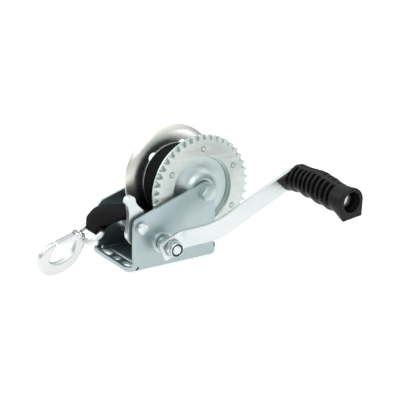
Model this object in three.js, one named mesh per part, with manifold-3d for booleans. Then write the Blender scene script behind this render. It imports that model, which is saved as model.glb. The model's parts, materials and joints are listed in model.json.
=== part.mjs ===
// A hand-cranked boat trailer winch: a folded steel frame, a geared webbing drum, a pinion shaft turned by
// a joggled crank arm with a loose grip, a holding pawl, and the webbing's free end with its snap hook.
//
// Millimetres, +Z up. The origin is the middle of the base's underside. The webbing leaves towards -X, the
// drum, pinion and pawl turn about axes along Y, and the crank is on the -Y side.
import * as THREE from 'three';
import { mergeVertices } from 'three/addons/utils/BufferGeometryUtils.js';
import Module from 'manifold-3d';

const wasm = await Module();
wasm.setup();

// ---- driving dimensions ----

const SHEET = 3;                                 // the frame's sheet steel
const BASE = { length: 118, width: 80, corner: 8, bend: 4, frontLip: 6.4, rearLip: 12 };
const WALL = { front: -51.3, rear: 54, slope: 0.326, slopeAtOrigin: 74.2 };
const WALL_OUT = BASE.width / 2;                 // |Y| of a wall's outer face
const WALL_IN = WALL_OUT - SHEET;                // |Y| of its inner face
const DRUM = { x: 41.5, z: 75.5 };               // drum axis
const PAWL = { x: -41.4, z: 48.6 };              // pawl pivot
const GEAR = { teeth: 42, bore: 38.6, front: -33, thick: 4.5, firstTooth: -1.1 };
const PINION = { teeth: 10, front: -34, thick: 5.4 };
const CENTRES = 74.25;                           // distance between the drum's and the pinion's axes
const CENTRES_TILT = 219.4;                      // its direction seen from the front, in degrees
const PRESSURE_ANGLE = 25;
const BACKLASH = 1.1;
const FLANGE = { radius: 62, sheet: 1.9, near: -28.3, dish: 3.3, shoulder: 37.3, far: 24, hub: 12.2 };
const ROLL = { radius: 42.4, near: -22.7, far: 23.7 };
const RIVETS = { count: 6, radius: 47, start: 30 };
const AXLE_RADIUS = 5;
const CLEARANCE = 0.3;
const ARM = { width: 20.8, thick: 4.8, tilt: 23.9, near: -60.5, far: -86, bendOut: 14.6, bendBack: 45,
  outRadius: 12, backRadius: 30, tail: 12.9, reach: 151.3, length: 165 };
const GRIP = { near: -86.5, far: -182.3, recess: 10.8, recessFloor: -166.5 };
const EYE = { x: -74.6, z: 42.5, tilt: 30, bar: 3.2, gapLong: 12, gapWide: 27 };
const HOOK_THICK = 8;
const STRAP = { half: 23.5, eyeHalf: 11.4, thick: 2.4 };

const MODULE = 2 * CENTRES / (GEAR.teeth + PINION.teeth);
const PINION_AXIS = polar(CENTRES, CENTRES_TILT).add(new THREE.Vector2(DRUM.x, DRUM.z));

// ---- materials ----

const metal = (color, roughness, metalness = 0.9) =>
  new THREE.MeshStandardMaterial({ color, roughness, metalness });
const ZINC = metal(0xb4c0c4, 0.38);
const GEAR_ZINC = metal(0xc3c4bd, 0.42);
const BRIGHT = metal(0xd3d6d3, 0.3);
const FORGED = metal(0xdadbd6, 0.45);
const SPRING_STEEL = metal(0x8f9698, 0.35);
const NYLON = metal(0x1c2438, 0.5, 0);
const RUBBER = metal(0x161616, 0.75, 0);
const WEBBING = metal(0x141414, 0.85, 0);

// ---- helpers ----

function polar(radius, degrees) {
  const angle = THREE.MathUtils.degToRad(degrees);
  return new THREE.Vector2(radius * Math.cos(angle), radius * Math.sin(angle));
}

function arc(x, y, radius, from, to, steps) {
  const points = [];
  for (let i = 0; i <= steps; i += 1) {
    points.push(polar(radius, from + (to - from) * i / steps).add(new THREE.Vector2(x, y)));
  }
  return points;
}

function disc(x, y, radius, sides = 24) {
  return arc(x, y, radius, 0, 360 * (1 - 1 / sides), sides - 1);
}

/** A slot from a to b, with round ends. */
function slot(a, b, radius) {
  const heading = THREE.MathUtils.radToDeg(Math.atan2(b[1] - a[1], b[0] - a[0]));
  return [...arc(b[0], b[1], radius, heading - 90, heading + 90, 6),
    ...arc(a[0], a[1], radius, heading + 90, heading + 270, 6)];
}

/** Corners [x, y, fillet radius], counter-clockwise, as an outline with round corners. */
function outline(corners, degreesPerStep = 22.5) {
  const points = [];
  corners.forEach(([x, y, radius = 0], i) => {
    const corner = new THREE.Vector2(x, y);
    const before = corners[(i + corners.length - 1) % corners.length];
    const after = corners[(i + 1) % corners.length];
    const back = new THREE.Vector2(before[0] - x, before[1] - y).normalize();
    const on = new THREE.Vector2(after[0] - x, after[1] - y).normalize();
    if (radius === 0) {
      points.push(corner);
      return;
    }
    const half = Math.acos(back.dot(on)) / 2;
    const middle = back.clone().add(on).normalize().multiplyScalar(radius / Math.sin(half)).add(corner);
    const start = back.clone().multiplyScalar(radius / Math.tan(half)).add(corner).sub(middle);
    const end = on.clone().multiplyScalar(radius / Math.tan(half)).add(corner).sub(middle);
    const turn = Math.atan2(start.cross(end), start.dot(end));
    const steps = Math.max(1, Math.ceil(THREE.MathUtils.radToDeg(Math.abs(turn)) / degreesPerStep));
    for (let k = 0; k <= steps; k += 1) {
      points.push(start.clone().rotateAround(new THREE.Vector2(), turn * k / steps).add(middle));
    }
  });
  return points;
}

/** A closed geometry as a solid, turned inside out first if its faces point in. */
function solid(geometry) {
  const bare = geometry.clone();
  bare.deleteAttribute('normal');
  bare.deleteAttribute('uv');
  const merged = mergeVertices(bare, 1e-4);
  const p = merged.attributes.position.array;
  const index = Array.from(merged.index.array);
  const triangles = [];
  let volume = 0;
  for (let i = 0; i < index.length; i += 3) {
    const [a, b, c] = [index[i], index[i + 1], index[i + 2]];
    if (a === b || b === c || c === a) {
      continue;
    }
    triangles.push(a, b, c);
    const [u, v, w] = [a, b, c].map((k) => new THREE.Vector3(p[3 * k], p[3 * k + 1], p[3 * k + 2]));
    volume += u.dot(v.cross(w));
  }
  const triVerts = new Uint32Array(volume < 0 ? triangles.reverse() : triangles);
  return new wasm.Manifold(new wasm.Mesh({ numProp: 3, vertProperties: new Float32Array(p), triVerts }));
}

/** An outline drawn in X and Z, front view, given thickness from near to far along Y. */
function plate(points, near, far) {
  const geometry = new THREE.ExtrudeGeometry(new THREE.Shape(points),
    { depth: far - near, bevelEnabled: false });
  geometry.rotateX(Math.PI / 2);
  geometry.translate(0, far, 0);
  return solid(geometry);
}

/** An outline drawn in X and Y, from low to high along Z. */
function slab(points, low, high) {
  const geometry = new THREE.ExtrudeGeometry(new THREE.Shape(points),
    { depth: high - low, bevelEnabled: false });
  geometry.translate(0, 0, low);
  return solid(geometry);
}

/** A profile of [radius, y] pairs turned about the Y axis. */
function turned(profile, sides = 20) {
  const points = profile.map(([radius, y]) => new THREE.Vector2(radius, y));
  return solid(new THREE.LatheGeometry(points, sides));
}

/** A plain tube about Y. */
function sleeve(inner, outer, near, far, sides = 20) {
  return turned([[inner, near], [outer, near], [outer, far], [inner, far], [inner, near]], sides);
}

/** A hexagonal prism about Y, its flats facing the given way. */
function hexagon(acrossFlats, near, far, flatsAt = 90) {
  const corner = acrossFlats / Math.sqrt(3);
  return plate(arc(0, 0, corner, flatsAt + 30, flatsAt + 330, 5), near, far);
}

/** Rings of points, one after another, as one closed body with flat ends. */
function loft(rings) {
  const sides = rings[0].length;
  const positions = rings.flat().flatMap((point) => [point.x, point.y, point.z]);
  const index = [];
  for (let r = 0; r + 1 < rings.length; r += 1) {
    for (let k = 0; k < sides; k += 1) {
      const [a, b] = [r * sides + k, r * sides + (k + 1) % sides];
      index.push(a, b, a + sides, b, b + sides, a + sides);
    }
  }
  for (const [ring, flip] of [[0, false], [rings.length - 1, true]]) {
    const middle = positions.length / 3;
    const centre = rings[ring].reduce((sum, point) => sum.add(point), new THREE.Vector3());
    positions.push(...centre.divideScalar(sides).toArray());
    for (let k = 0; k < sides; k += 1) {
      const [a, b] = [ring * sides + k, ring * sides + (k + 1) % sides];
      index.push(...(flip ? [middle, a, b] : [middle, b, a]));
    }
  }
  const geometry = new THREE.BufferGeometry();
  geometry.setAttribute('position', new THREE.Float32BufferAttribute(positions, 3));
  geometry.setIndex(index);
  return solid(geometry);
}

/** A round wire along a curve, with closed ends. */
function wire(curve, radius, steps, sides = 8) {
  const section = new THREE.Shape(disc(0, 0, radius, sides));
  return solid(new THREE.ExtrudeGeometry(section, { steps, extrudePath: curve, bevelEnabled: false }));
}

/** A coil about Y. */
function coil(radius, near, far, turns, wireRadius) {
  const points = [];
  const perTurn = 8;
  for (let i = 0; i <= turns * perTurn; i += 1) {
    const at = polar(radius, 360 * i / perTurn);
    points.push(new THREE.Vector3(at.x, near + (far - near) * i / (turns * perTurn), at.y));
  }
  return wire(new THREE.CatmullRomCurve3(points), wireRadius, points.length, 6);
}

function node(name, body, material, at = [0, 0, 0]) {
  const { vertProperties, triVerts } = body.getMesh();
  const geometry = new THREE.BufferGeometry();
  geometry.setAttribute('position', new THREE.BufferAttribute(new Float32Array(vertProperties), 3));
  geometry.setIndex(new THREE.BufferAttribute(new Uint32Array(triVerts), 1));
  geometry.computeVertexNormals();
  const mesh = new THREE.Mesh(geometry, material);
  mesh.name = name;
  mesh.position.set(...at);
  return mesh;
}

function group(x, z, tilt, ...children) {
  const holder = new THREE.Group();
  holder.position.set(x, 0, z);
  holder.rotation.y = -THREE.MathUtils.degToRad(tilt);
  holder.add(...children);
  return holder;
}

// ---- frame ----

/** A tub with round plan corners and a round bottom edge. */
function tub(inset, bend, bottom) {
  const x = BASE.length / 2 - inset - bend;
  const y = BASE.width / 2 - inset - bend;
  const corner = Math.max(BASE.corner - inset - bend, 0.5);
  const plan = outline([[-x, -y, corner], [x, -y, corner], [x, y, corner], [-x, y, corner]]);
  const geometry = new THREE.ExtrudeGeometry(new THREE.Shape(plan),
    { depth: 100, bevelSize: bend, bevelThickness: bend, bevelSegments: 3 });
  geometry.translate(0, 0, bottom + bend);
  return solid(geometry);
}

/** Both walls and both lips seen from the side. */
function sideOutline() {
  const top = (x) => WALL.slopeAtOrigin + WALL.slope * x;
  const end = BASE.length / 2;
  return outline([[-end - 1, -1], [end, -1], [end, BASE.rearLip, 3.5], [WALL.rear, BASE.rearLip],
    [WALL.rear, top(WALL.rear), 12.3], [WALL.front, top(WALL.front), 10],
    [WALL.front, BASE.frontLip, 3.5], [-end - 1, BASE.frontLip]], 15);
}

/** Three bolt holes across each end of the base: a round one between two slots. */
function boltHoles() {
  const HOLE = { x: 49.2, y: 22, radius: 5.25, slide: 3.75 };
  let holes = slab(disc(HOLE.x, 0, HOLE.radius), -1, SHEET + 1);
  for (const x of [-HOLE.x, HOLE.x]) {
    holes = holes.add(slab(disc(x, 0, HOLE.radius), -1, SHEET + 1));
    for (const y of [-HOLE.y, HOLE.y]) {
      holes = holes.add(slab(slot([x, y - HOLE.slide], [x, y + HOLE.slide], HOLE.radius), -1, SHEET + 1));
    }
  }
  return holes;
}

/** Relief cuts where the lips meet the walls, and the holes for the three shafts. */
function wallCuts() {
  const across = [-BASE.width, BASE.width];
  const relief = 1.25;
  const rearX = WALL.rear + 0.9;
  const frontCut = slot([-48.4, -1], [-45.7, 4.3], relief);
  return plate(frontCut, -BASE.width, -WALL_IN + BASE.bend)
    .add(plate(frontCut, WALL_IN - BASE.bend, BASE.width))
    .add(plate(slot([rearX, BASE.rearLip + 2], [rearX, BASE.rearLip - 2], relief), ...across))
    .add(plate(disc(DRUM.x, DRUM.z, AXLE_RADIUS + CLEARANCE), ...across))
    .add(plate(disc(PINION_AXIS.x, PINION_AXIS.y, BUSHING.neck + CLEARANCE), ...across))
    .add(plate(disc(PAWL.x, PAWL.z, PIVOT.radius + CLEARANCE), -BASE.width, 0));
}

/** A low rib pressed up across the floor behind the front holes. */
function floorRib() {
  const RIB = { x: -39.5, half: 30, height: 1.2 };
  return plate([[RIB.x - 2.5, SHEET - 1], [RIB.x + 2.5, SHEET - 1], [RIB.x + 1.2, SHEET + RIB.height],
    [RIB.x - 1.2, SHEET + RIB.height]].map(([x, z]) => new THREE.Vector2(x, z)), -RIB.half, RIB.half);
}

function frameBracket() {
  const body = tub(0, BASE.bend, 0).subtract(tub(SHEET, BASE.bend - SHEET, SHEET));
  const folded = body.intersect(plate(sideOutline(), -BASE.width, BASE.width));
  return folded.subtract(wallCuts()).add(floorRib()).subtract(boltHoles());
}

// ---- fasteners ----

/** A nut with a round collar for its locking ring; it sits on y = 0 and grows towards -Y. */
function lockNut(acrossFlats, bore, height, flatsAt) {
  const collar = acrossFlats * 0.455;
  const hex = hexagon(acrossFlats, -height * 0.62, 0, flatsAt);
  const dome = turned([[0, -height], [collar - 0.6, -height], [collar, -height + 0.8], [collar, -1],
    [0, -1]]);
  const drill = turned([[0, -height - 1], [collar - 1.4, -height - 1], [collar - 1.4, -height * 0.84],
    [bore, -height * 0.84], [bore, 1], [0, 1]]);
  return hex.add(dome).subtract(drill);
}

/** The locking ring that fills a lock nut's collar. */
function lockRing(acrossFlats, bore, height) {
  const collar = acrossFlats * 0.455;
  return sleeve(bore, collar - 1.5, -height + 0.1, -height * 0.84 - 0.05);
}

/** A hexagon-head bolt: the head grows from y = 0 towards -Y, the shank towards +Y. */
function hexBolt(acrossFlats, headHeight, radius, length, flatsAt) {
  const chamfer = turned([[0, -headHeight], [acrossFlats * 0.45, -headHeight],
    [acrossFlats * 0.6, -headHeight + 1.2], [acrossFlats * 0.6, 0], [0, 0]]);
  const shank = turned([[0, -1], [radius, -1], [radius, length - 1], [radius - 0.8, length], [0, length]]);
  return hexagon(acrossFlats, -headHeight, 0, flatsAt).intersect(chamfer).add(shank);
}

/** A rivet through the gear and the near flange: a low dome in front, a formed head behind. */
function rivet() {
  const grip = GEAR.thick + FLANGE.sheet + 0.5;
  return turned([[0, -0.9], [2.2, -0.8], [3, -0.05], [2.2, -0.05], [2.2, grip], [3, grip], [2.6, grip + 0.8],
    [0, grip + 0.8]], 10);
}

// ---- drum ----

const involute = (angle) => Math.tan(angle) - angle;

/** The outline of an involute gear, front view, with a tooth centred on the given direction. */
function toothed(teeth, firstTooth) {
  const pitch = MODULE * teeth / 2;
  const base = pitch * Math.cos(THREE.MathUtils.degToRad(PRESSURE_ANGLE));
  const root = pitch - 1.25 * MODULE;
  const tip = pitch + MODULE;
  const flankFoot = Math.max(base, root);
  const atPitch = Math.PI / (2 * teeth) - BACKLASH / (4 * pitch)
    + involute(THREE.MathUtils.degToRad(PRESSURE_ANGLE));
  const halfTooth = (radius) => atPitch - involute(Math.acos(Math.min(1, base / Math.max(radius, base))));
  const flank = teeth > 20 ? [root, pitch, tip] : [root, (flankFoot + pitch) / 2, (pitch + tip) / 2, tip];
  const points = [];
  for (let k = 0; k < teeth; k += 1) {
    const centre = firstTooth + 360 * k / teeth;
    for (const radius of flank) {
      points.push(polar(radius, centre - THREE.MathUtils.radToDeg(halfTooth(radius))));
    }
    for (const radius of [...flank].reverse()) {
      points.push(polar(radius, centre + THREE.MathUtils.radToDeg(halfTooth(radius))));
    }
  }
  return points;
}

function rivetHoles(radius, near, far) {
  return Array.from({ length: RIVETS.count }, (_, k) => {
    const at = polar(RIVETS.radius, RIVETS.start + 360 * k / RIVETS.count);
    return plate(disc(at.x, at.y, radius, 12), near, far);
  }).reduce((all, hole) => all.add(hole));
}

function drumGear() {
  const far = GEAR.front + GEAR.thick;
  return plate(toothed(GEAR.teeth, GEAR.firstTooth), GEAR.front, far)
    .subtract(plate(disc(0, 0, GEAR.bore, 48), GEAR.front - 1, far + 1))
    .subtract(rivetHoles(2.5, GEAR.front - 1, far + 1));
}

const ANCHOR = { at: polar(31.2, -100), radius: 2.5, length: 56 };   // the bolt that holds the webbing's end

/** The trumpet-shaped neck of a flange: [radius, distance out from the floor's outer face]. */
const NECK = [[22.5, 0], [18.8, 1.3], [16.4, 3.8], [15, 7], [14.3, 9.9]];
const FLANGE_SIDES = 48;

/** The closed profile of a flange: its outer face, out along the neck, and back along its inner face. */
function flangeProfile(floor, side, outerFace, innerFace) {
  const neck = NECK.map(([radius, out]) => [radius, floor + side * out]);
  const [, [r1, out1], [r2, out2]] = NECK;
  const bore = [[FLANGE.hub, floor + side * NECK.at(-1)[1]], [FLANGE.hub, floor + side * 6],
    [r2 - 1.9, floor + side * (out2 - 1)], [r1 - 1.3, floor + side * (out1 - 1.7)],
    [NECK[0][0] - 0.4, floor - side * FLANGE.sheet]];
  return [...outerFace, ...neck, ...bore, ...innerFace, outerFace[0]];
}

function anchorHole() {
  return plate(disc(ANCHOR.at.x, ANCHOR.at.y, ANCHOR.radius + CLEARANCE, 12), -40, 40);
}

function nearFlange() {
  const floor = FLANGE.near + FLANGE.dish;
  const back = FLANGE.near + FLANGE.sheet;
  const shoulder = FLANGE.shoulder;
  const outerFace = [[FLANGE.radius, FLANGE.near], [shoulder + 1.3, FLANGE.near],
    [shoulder, FLANGE.near + 1.2], [shoulder, floor - 1], [shoulder - 1, floor]];
  const innerFace = [[shoulder + 0.6, floor + FLANGE.sheet], [shoulder + 2.4, back], [FLANGE.radius, back]];
  return turned(flangeProfile(floor, -1, outerFace, innerFace), FLANGE_SIDES)
    .subtract(rivetHoles(2.5, FLANGE.near - 1, floor + 1))
    .subtract(anchorHole());
}

function farFlange() {
  const LIGHTENING = { count: 6, radius: 6, at: 40, start: 136 };
  const floor = FLANGE.far + FLANGE.sheet;
  const flare = [[51, 0], [56.4, 1.1], [59.8, 3.5], [FLANGE.radius, 6.6]];
  const innerFace = flare.map(([r, out]) => [r, FLANGE.far + out]);
  const outerFace = [...flare].reverse().map(([r, out]) => [r - 0.35 * out + 0.3, floor + out]);
  let body = turned(flangeProfile(floor, 1, outerFace, innerFace), FLANGE_SIDES);
  for (let k = 0; k < LIGHTENING.count; k += 1) {
    const at = polar(LIGHTENING.at, LIGHTENING.start + 360 * k / LIGHTENING.count);
    body = body.subtract(plate(disc(at.x, at.y, LIGHTENING.radius, 16), FLANGE.far - 1, floor + 1));
  }
  return body.subtract(anchorHole());
}

function strapRoll() {
  return sleeve(FLANGE.hub + 0.2, ROLL.radius, ROLL.near, ROLL.far, FLANGE_SIDES).subtract(anchorHole());
}

function drumGroup() {
  const hubEnd = WALL_IN - 1.3;
  const anchorAt = [ANCHOR.at.x, FLANGE.near + 3.2, ANCHOR.at.y];
  const anchorNutAt = [ANCHOR.at.x, FLANGE.far + FLANGE.sheet + 4.1, ANCHOR.at.y];
  const rivets = Array.from({ length: RIVETS.count }, (_, k) => {
    const at = polar(RIVETS.radius, RIVETS.start + 360 * k / RIVETS.count);
    return node(`gear_rivet_${k + 1}`, rivet(), BRIGHT, [at.x, GEAR.front, at.y]);
  });
  return group(DRUM.x, DRUM.z, 0,
    node('drum_gear', drumGear(), GEAR_ZINC),
    node('drum_flange_near', nearFlange(), ZINC),
    node('drum_flange_far', farFlange(), ZINC),
    node('drum_hub_tube', sleeve(8.7, FLANGE.hub - CLEARANCE, -hubEnd, hubEnd), ZINC),
    node('strap_roll', strapRoll(), WEBBING),
    node('strap_anchor_bolt', hexBolt(8, 3.5, ANCHOR.radius, ANCHOR.length, 90), BRIGHT, anchorAt),
    node('strap_anchor_nut', hexagon(8, -4, 0).subtract(
      plate(disc(0, 0, ANCHOR.radius + CLEARANCE, 12), -6, 1)), BRIGHT, anchorNutAt),
    ...rivets,
    node('drum_spacer_tube', sleeve(AXLE_RADIUS + CLEARANCE, 8.3, -WALL_IN + 0.1, WALL_IN - 0.1), ZINC),
    node('drum_axle_bolt', hexBolt(16, 6.4, AXLE_RADIUS, 92.5, 0), ZINC, [0, -WALL_OUT - 0.1, 0]),
    node('drum_axle_washer', sleeve(AXLE_RADIUS + CLEARANCE, 10, WALL_OUT + 0.1, WALL_OUT + 1.7), ZINC),
    farNut('drum_axle_nut', AXLE_RADIUS + CLEARANCE, WALL_OUT + 1.8));
}

/** A lock nut on the far side, facing +Y. */
function farNut(name, bore, at) {
  const nut = node(name, lockNut(17, bore, 10, 90), ZINC, [0, at, 0]);
  nut.rotation.x = Math.PI;
  return nut;
}

// ---- pinion shaft and crank ----

const BUSHING = { neck: 10.3, bore: 9.6, flange: 11.8, flangeThick: 2.2 };
const SHAFT = { seat: 7.7, journal: 9.3, sleeve: 6.2, end: -71.3, farEnd: 45.4, groove: 43.3 };
const NUT_AT = ARM.near - 0.3;

function bushing(side) {
  const out = side * (WALL_OUT + 0.1);
  const inside = side * (WALL_IN - 0.8);
  const rim = out + side * BUSHING.flangeThick;
  return turned([[BUSHING.bore, rim], [BUSHING.flange - 0.5, rim], [BUSHING.flange, rim - side * 0.6],
    [BUSHING.flange, out], [BUSHING.neck, out], [BUSHING.neck, inside], [BUSHING.bore, inside],
    [BUSHING.bore, rim]]);
}

function pinionShaft() {
  return turned([[0, SHAFT.end], [4.2, SHAFT.end], [5, SHAFT.end + 0.8], [5, ARM.near - 0.2],
    [SHAFT.sleeve, ARM.near - 0.2], [SHAFT.sleeve, -41.2], [SHAFT.journal, -41.2], [SHAFT.journal, -35.4],
    [SHAFT.seat, -35.4], [SHAFT.seat, 35.4], [SHAFT.journal, 35.4], [SHAFT.journal, SHAFT.groove - 0.9],
    [7.5, SHAFT.groove - 0.9], [7.5, SHAFT.groove + 0.9], [SHAFT.journal - 0.6, SHAFT.groove + 0.9],
    [SHAFT.journal - 1.2, SHAFT.farEnd], [0, SHAFT.farEnd]]);
}

function pinionGear() {
  const gearPast = (GEAR.firstTooth - CENTRES_TILT) % (360 / GEAR.teeth);
  const gap = CENTRES_TILT - 180 - gearPast * GEAR.teeth / PINION.teeth;
  const far = PINION.front + PINION.thick;
  return plate(toothed(PINION.teeth, gap + 180 / PINION.teeth), PINION.front, far)
    .subtract(plate(disc(0, 0, SHAFT.seat + CLEARANCE), PINION.front - 1, far + 1));
}

/** A C-shaped clip in the groove at the shaft's far end. */
function shaftClip() {
  const ring = sleeve(7.8, 10.8, SHAFT.groove - 0.7, SHAFT.groove + 0.7);
  return ring.subtract(plate(slot([0, 0], [0, -14], 3), SHAFT.groove - 2, SHAFT.groove + 3));
}

/** The crank arm: a flat bar with a joggle outwards. It lies along +X here, its width along Z. */
function crankArm() {
  const path = [[-ARM.tail, ARM.near], [ARM.bendOut, ARM.near], [ARM.bendBack, ARM.far],
    [ARM.length, ARM.far]];
  const lift = Math.atan2(ARM.near - ARM.far, ARM.bendBack - ARM.bendOut) / 2;
  const shift = ARM.thick * Math.tan(lift);
  const inner = [[-ARM.tail, ARM.near + ARM.thick], [ARM.bendOut + shift, ARM.near + ARM.thick],
    [ARM.bendBack + shift, ARM.far + ARM.thick], [ARM.length, ARM.far + ARM.thick]];
  const outerRadii = [0, ARM.outRadius, ARM.backRadius + ARM.thick, 0];
  const innerRadii = [0, ARM.outRadius + ARM.thick, ARM.backRadius, 0];
  const outerSide = path.map(([x, y], i) => [x, y, outerRadii[i]]);
  const innerSide = inner.map(([x, y], i) => [x, y, innerRadii[i]]).reverse();
  const bar = slab(outline([...outerSide, ...innerSide], 7.5), -ARM.width / 2, ARM.width / 2);
  const half = ARM.width / 2;
  const roundEnds = plate(outline([[-ARM.tail, -half, 3], [ARM.length, -half, 9], [ARM.length, half, 9],
    [-ARM.tail, half, 3]]), -100, 0);
  return bar.intersect(roundEnds)
    .subtract(plate(disc(0, 0, SHAFT.sleeve + CLEARANCE), ARM.far, 0))
    .subtract(plate(disc(ARM.reach, 0, GRIP_BOLT.radius + CLEARANCE), ARM.far - 1, 0));
}

const GRIP_BOLT = { radius: 4, head: 13, headHeight: 5.3 };

function gripBolt() {
  const headAt = GRIP.recessFloor - 1.9;
  const length = ARM.far + ARM.thick + 9 - headAt;
  return hexBolt(GRIP_BOLT.head, GRIP_BOLT.headHeight, GRIP_BOLT.radius, length, 60)
    .translate([0, headAt, 0]);
}

/**
 * The distance from the middle to a bell outline at an angle: round, but for a flat that faces one way, with
 * its corners joined to the round by tangents. All angles are in degrees.
 */
function bellRadius(angle, facing, flatAt, halfFlat, round) {
  const off = Math.abs(THREE.MathUtils.euclideanModulo(angle - facing + 180, 360) - 180);
  const cornerAt = THREE.MathUtils.radToDeg(Math.atan2(halfFlat, flatAt));
  const reach = THREE.MathUtils.radToDeg(Math.acos(round / Math.hypot(halfFlat, flatAt)));
  const tangentAt = cornerAt + reach;
  if (off <= cornerAt) return flatAt / Math.cos(THREE.MathUtils.degToRad(off));
  if (off >= tangentAt) return round;
  return round / Math.cos(THREE.MathUtils.degToRad(tangentAt - off));
}

// The grip's body from the arm (0) to its free end (1): how far its middle is lifted, and its radius.
const GRIP_BODY = [[0, 5.4, 15.4], [0.1, 5.4, 15.4], [0.25, 4.9, 15.4], [0.47, 4.4, 16.7], [0.62, 2.2, 16.6],
  [0.75, 0.6, 15.4], [0.86, -1, 15.6], [1, -2, 16.2]];
const LIFT_TOWARDS = 78;                         // the lift's direction, in degrees

function gripBody(place) {
  const next = Math.max(1, GRIP_BODY.findIndex(([at]) => at >= place));
  const [[from, ...low], [to, ...high]] = [GRIP_BODY[next - 1], GRIP_BODY[next]];
  const part = THREE.MathUtils.smoothstep(place, from, to);
  return low.map((value, i) => THREE.MathUtils.lerp(value, high[i], part));
}

/** One ring of the grip at a place from 0 at the arm to 1 at its free end. */
function gripRing(place, sides = 36) {
  const smooth = THREE.MathUtils.smoothstep;
  const root = 1 - smooth(place, 0.01, 0.12);
  const guard = Math.max(0, (place - 0.8) / 0.2) ** 2;
  const [lift, swell] = gripBody(place);
  const body = 1 - root - guard;
  const middle = polar(lift * (1 - root) * (1 - guard), LIFT_TOWARDS);
  return Array.from({ length: sides }, (_, k) => {
    const angle = 360 * k / sides;
    const under = Math.max(0, Math.cos(THREE.MathUtils.degToRad(angle - LIFT_TOWARDS - 180)));
    const scallop = 0.9 * under * Math.cos(2 * Math.PI * (place - 0.13) / 0.2) * (1 - guard);
    const flared = bellRadius(angle, 90 + ARM.tilt, 10.3, 18.9, 12.4);
    const bell = bellRadius(angle, 276.6, 18.2, 13.2, 15.6);
    const radius = root * flared + guard * bell + body * (swell + scallop);
    const at = polar(radius, angle).add(middle);
    return new THREE.Vector3(at.x, THREE.MathUtils.lerp(GRIP.near, GRIP.far, place), at.y);
  });
}

function grip() {
  const places = [0, 0.02, 0.05, 0.08, 0.12, 0.18, 0.24, 0.31, 0.38, 0.45, 0.52, 0.59, 0.66, 0.72, 0.78,
    0.84, 0.9, 0.95, 1];
  const drill = turned([[0, GRIP.far - 1], [GRIP.recess, GRIP.far - 1], [GRIP.recess, GRIP.recessFloor],
    [GRIP_BOLT.radius + 0.6, GRIP.recessFloor], [GRIP_BOLT.radius + 0.6, GRIP.near + 1],
    [0, GRIP.near + 1]]);
  return loft(places.map((place) => gripRing(place))).subtract(drill);
}

function crankGroup() {
  const nutHeight = 10;
  const gripWasher = sleeve(GRIP_BOLT.radius + CLEARANCE, 8.5, GRIP.recessFloor - 1.7,
    GRIP.recessFloor - 0.1);
  const gripNut = hexagon(GRIP_BOLT.head, 0, 6.5).subtract(
    plate(disc(0, 0, GRIP_BOLT.radius + CLEARANCE), -1, 8));
  return group(PINION_AXIS.x, PINION_AXIS.y, 0,
    node('pinion_shaft', pinionShaft(), BRIGHT),
    node('pinion_gear', pinionGear(), ZINC),
    node('shaft_clip', shaftClip(), SPRING_STEEL),
    node('crank_spacer_sleeve', sleeve(SHAFT.sleeve + CLEARANCE, 8.2, ARM.near + ARM.thick + 0.1, -41.4),
      ZINC),
    node('crank_lock_nut', lockNut(17, 5.3, nutHeight, 90), BRIGHT, [0, NUT_AT, 0]),
    node('crank_nut_insert', lockRing(17, 5.3, nutHeight), NYLON, [0, NUT_AT, 0]),
    group(0, 0, ARM.tilt,
      node('crank_arm', crankArm(), BRIGHT),
      group(ARM.reach, 0, -ARM.tilt,
        node('grip', grip(), RUBBER),
        node('grip_bolt', gripBolt(), BRIGHT),
        node('grip_washer', gripWasher, BRIGHT),
        node('grip_nut', gripNut, BRIGHT, [0, ARM.far + ARM.thick + 0.1, 0]))));
}

// ---- pawl ----

const PIVOT = { radius: 4, head: 6.3 };
const PAWL_PLATE = { near: -33.5, far: -27.5 };

/** The pawl around its pivot: thumb knob above, tail below, beak over the pinion. */
function pawl() {
  const left = [[-4.4, 30], [-12.6, 24], [-11, 15, 8], [-11.7, 3, 10], [-13.9, -6.5, 5], [-13.2, -12, 3],
    [-7.5, -20, 2]];
  const lowerTooth = [[2, -23], [6.1, -22.6], [6.9, -21.1], [4, -18.5]];
  const waist = [[8, -9, 6]];
  const upperBeak = [[19, 0.1], [22.8, -2.6], [24, -1.8], [22.8, 2.8, 1], [19.5, 6.5, 2]];
  const nose = [[8.4, 11, 3], [6.4, 16.6, 2], [-1.2, 24, 6]];
  const body = outline([...left, ...lowerTooth, ...waist, ...upperBeak, ...nose], 30);
  const knob = disc(-9.4, 28.9, 6, 16);
  return plate(body, PAWL_PLATE.near, PAWL_PLATE.far)
    .add(plate(knob, PAWL_PLATE.near, PAWL_PLATE.far))
    .subtract(plate(disc(0, 0, PIVOT.radius + CLEARANCE), -40, 0));
}

function pawlGroup() {
  const out = -WALL_OUT - 0.1;
  const end = PAWL_PLATE.far + 2.4;
  const pin = turned([[0, out - 5], [PIVOT.head - 1, out - 5], [PIVOT.head, out - 4.2],
    [PIVOT.head, out - 1.2], [7.4, out - 1.2], [7.4, out], [PIVOT.radius, out], [PIVOT.radius, end],
    [0, end]]);
  return group(PAWL.x, PAWL.z, 0,
    node('pawl', pawl(), ZINC),
    node('pawl_pivot_pin', pin, BRIGHT),
    node('pawl_pivot_clip', sleeve(PIVOT.radius + CLEARANCE, 7.4, PAWL_PLATE.far + 0.4,
      PAWL_PLATE.far + 1.5), SPRING_STEEL),
    node('pawl_spring', coil(5.8, -36, -34.6, 2, 0.45), SPRING_STEEL));
}

// ---- webbing and snap hook ----

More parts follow.
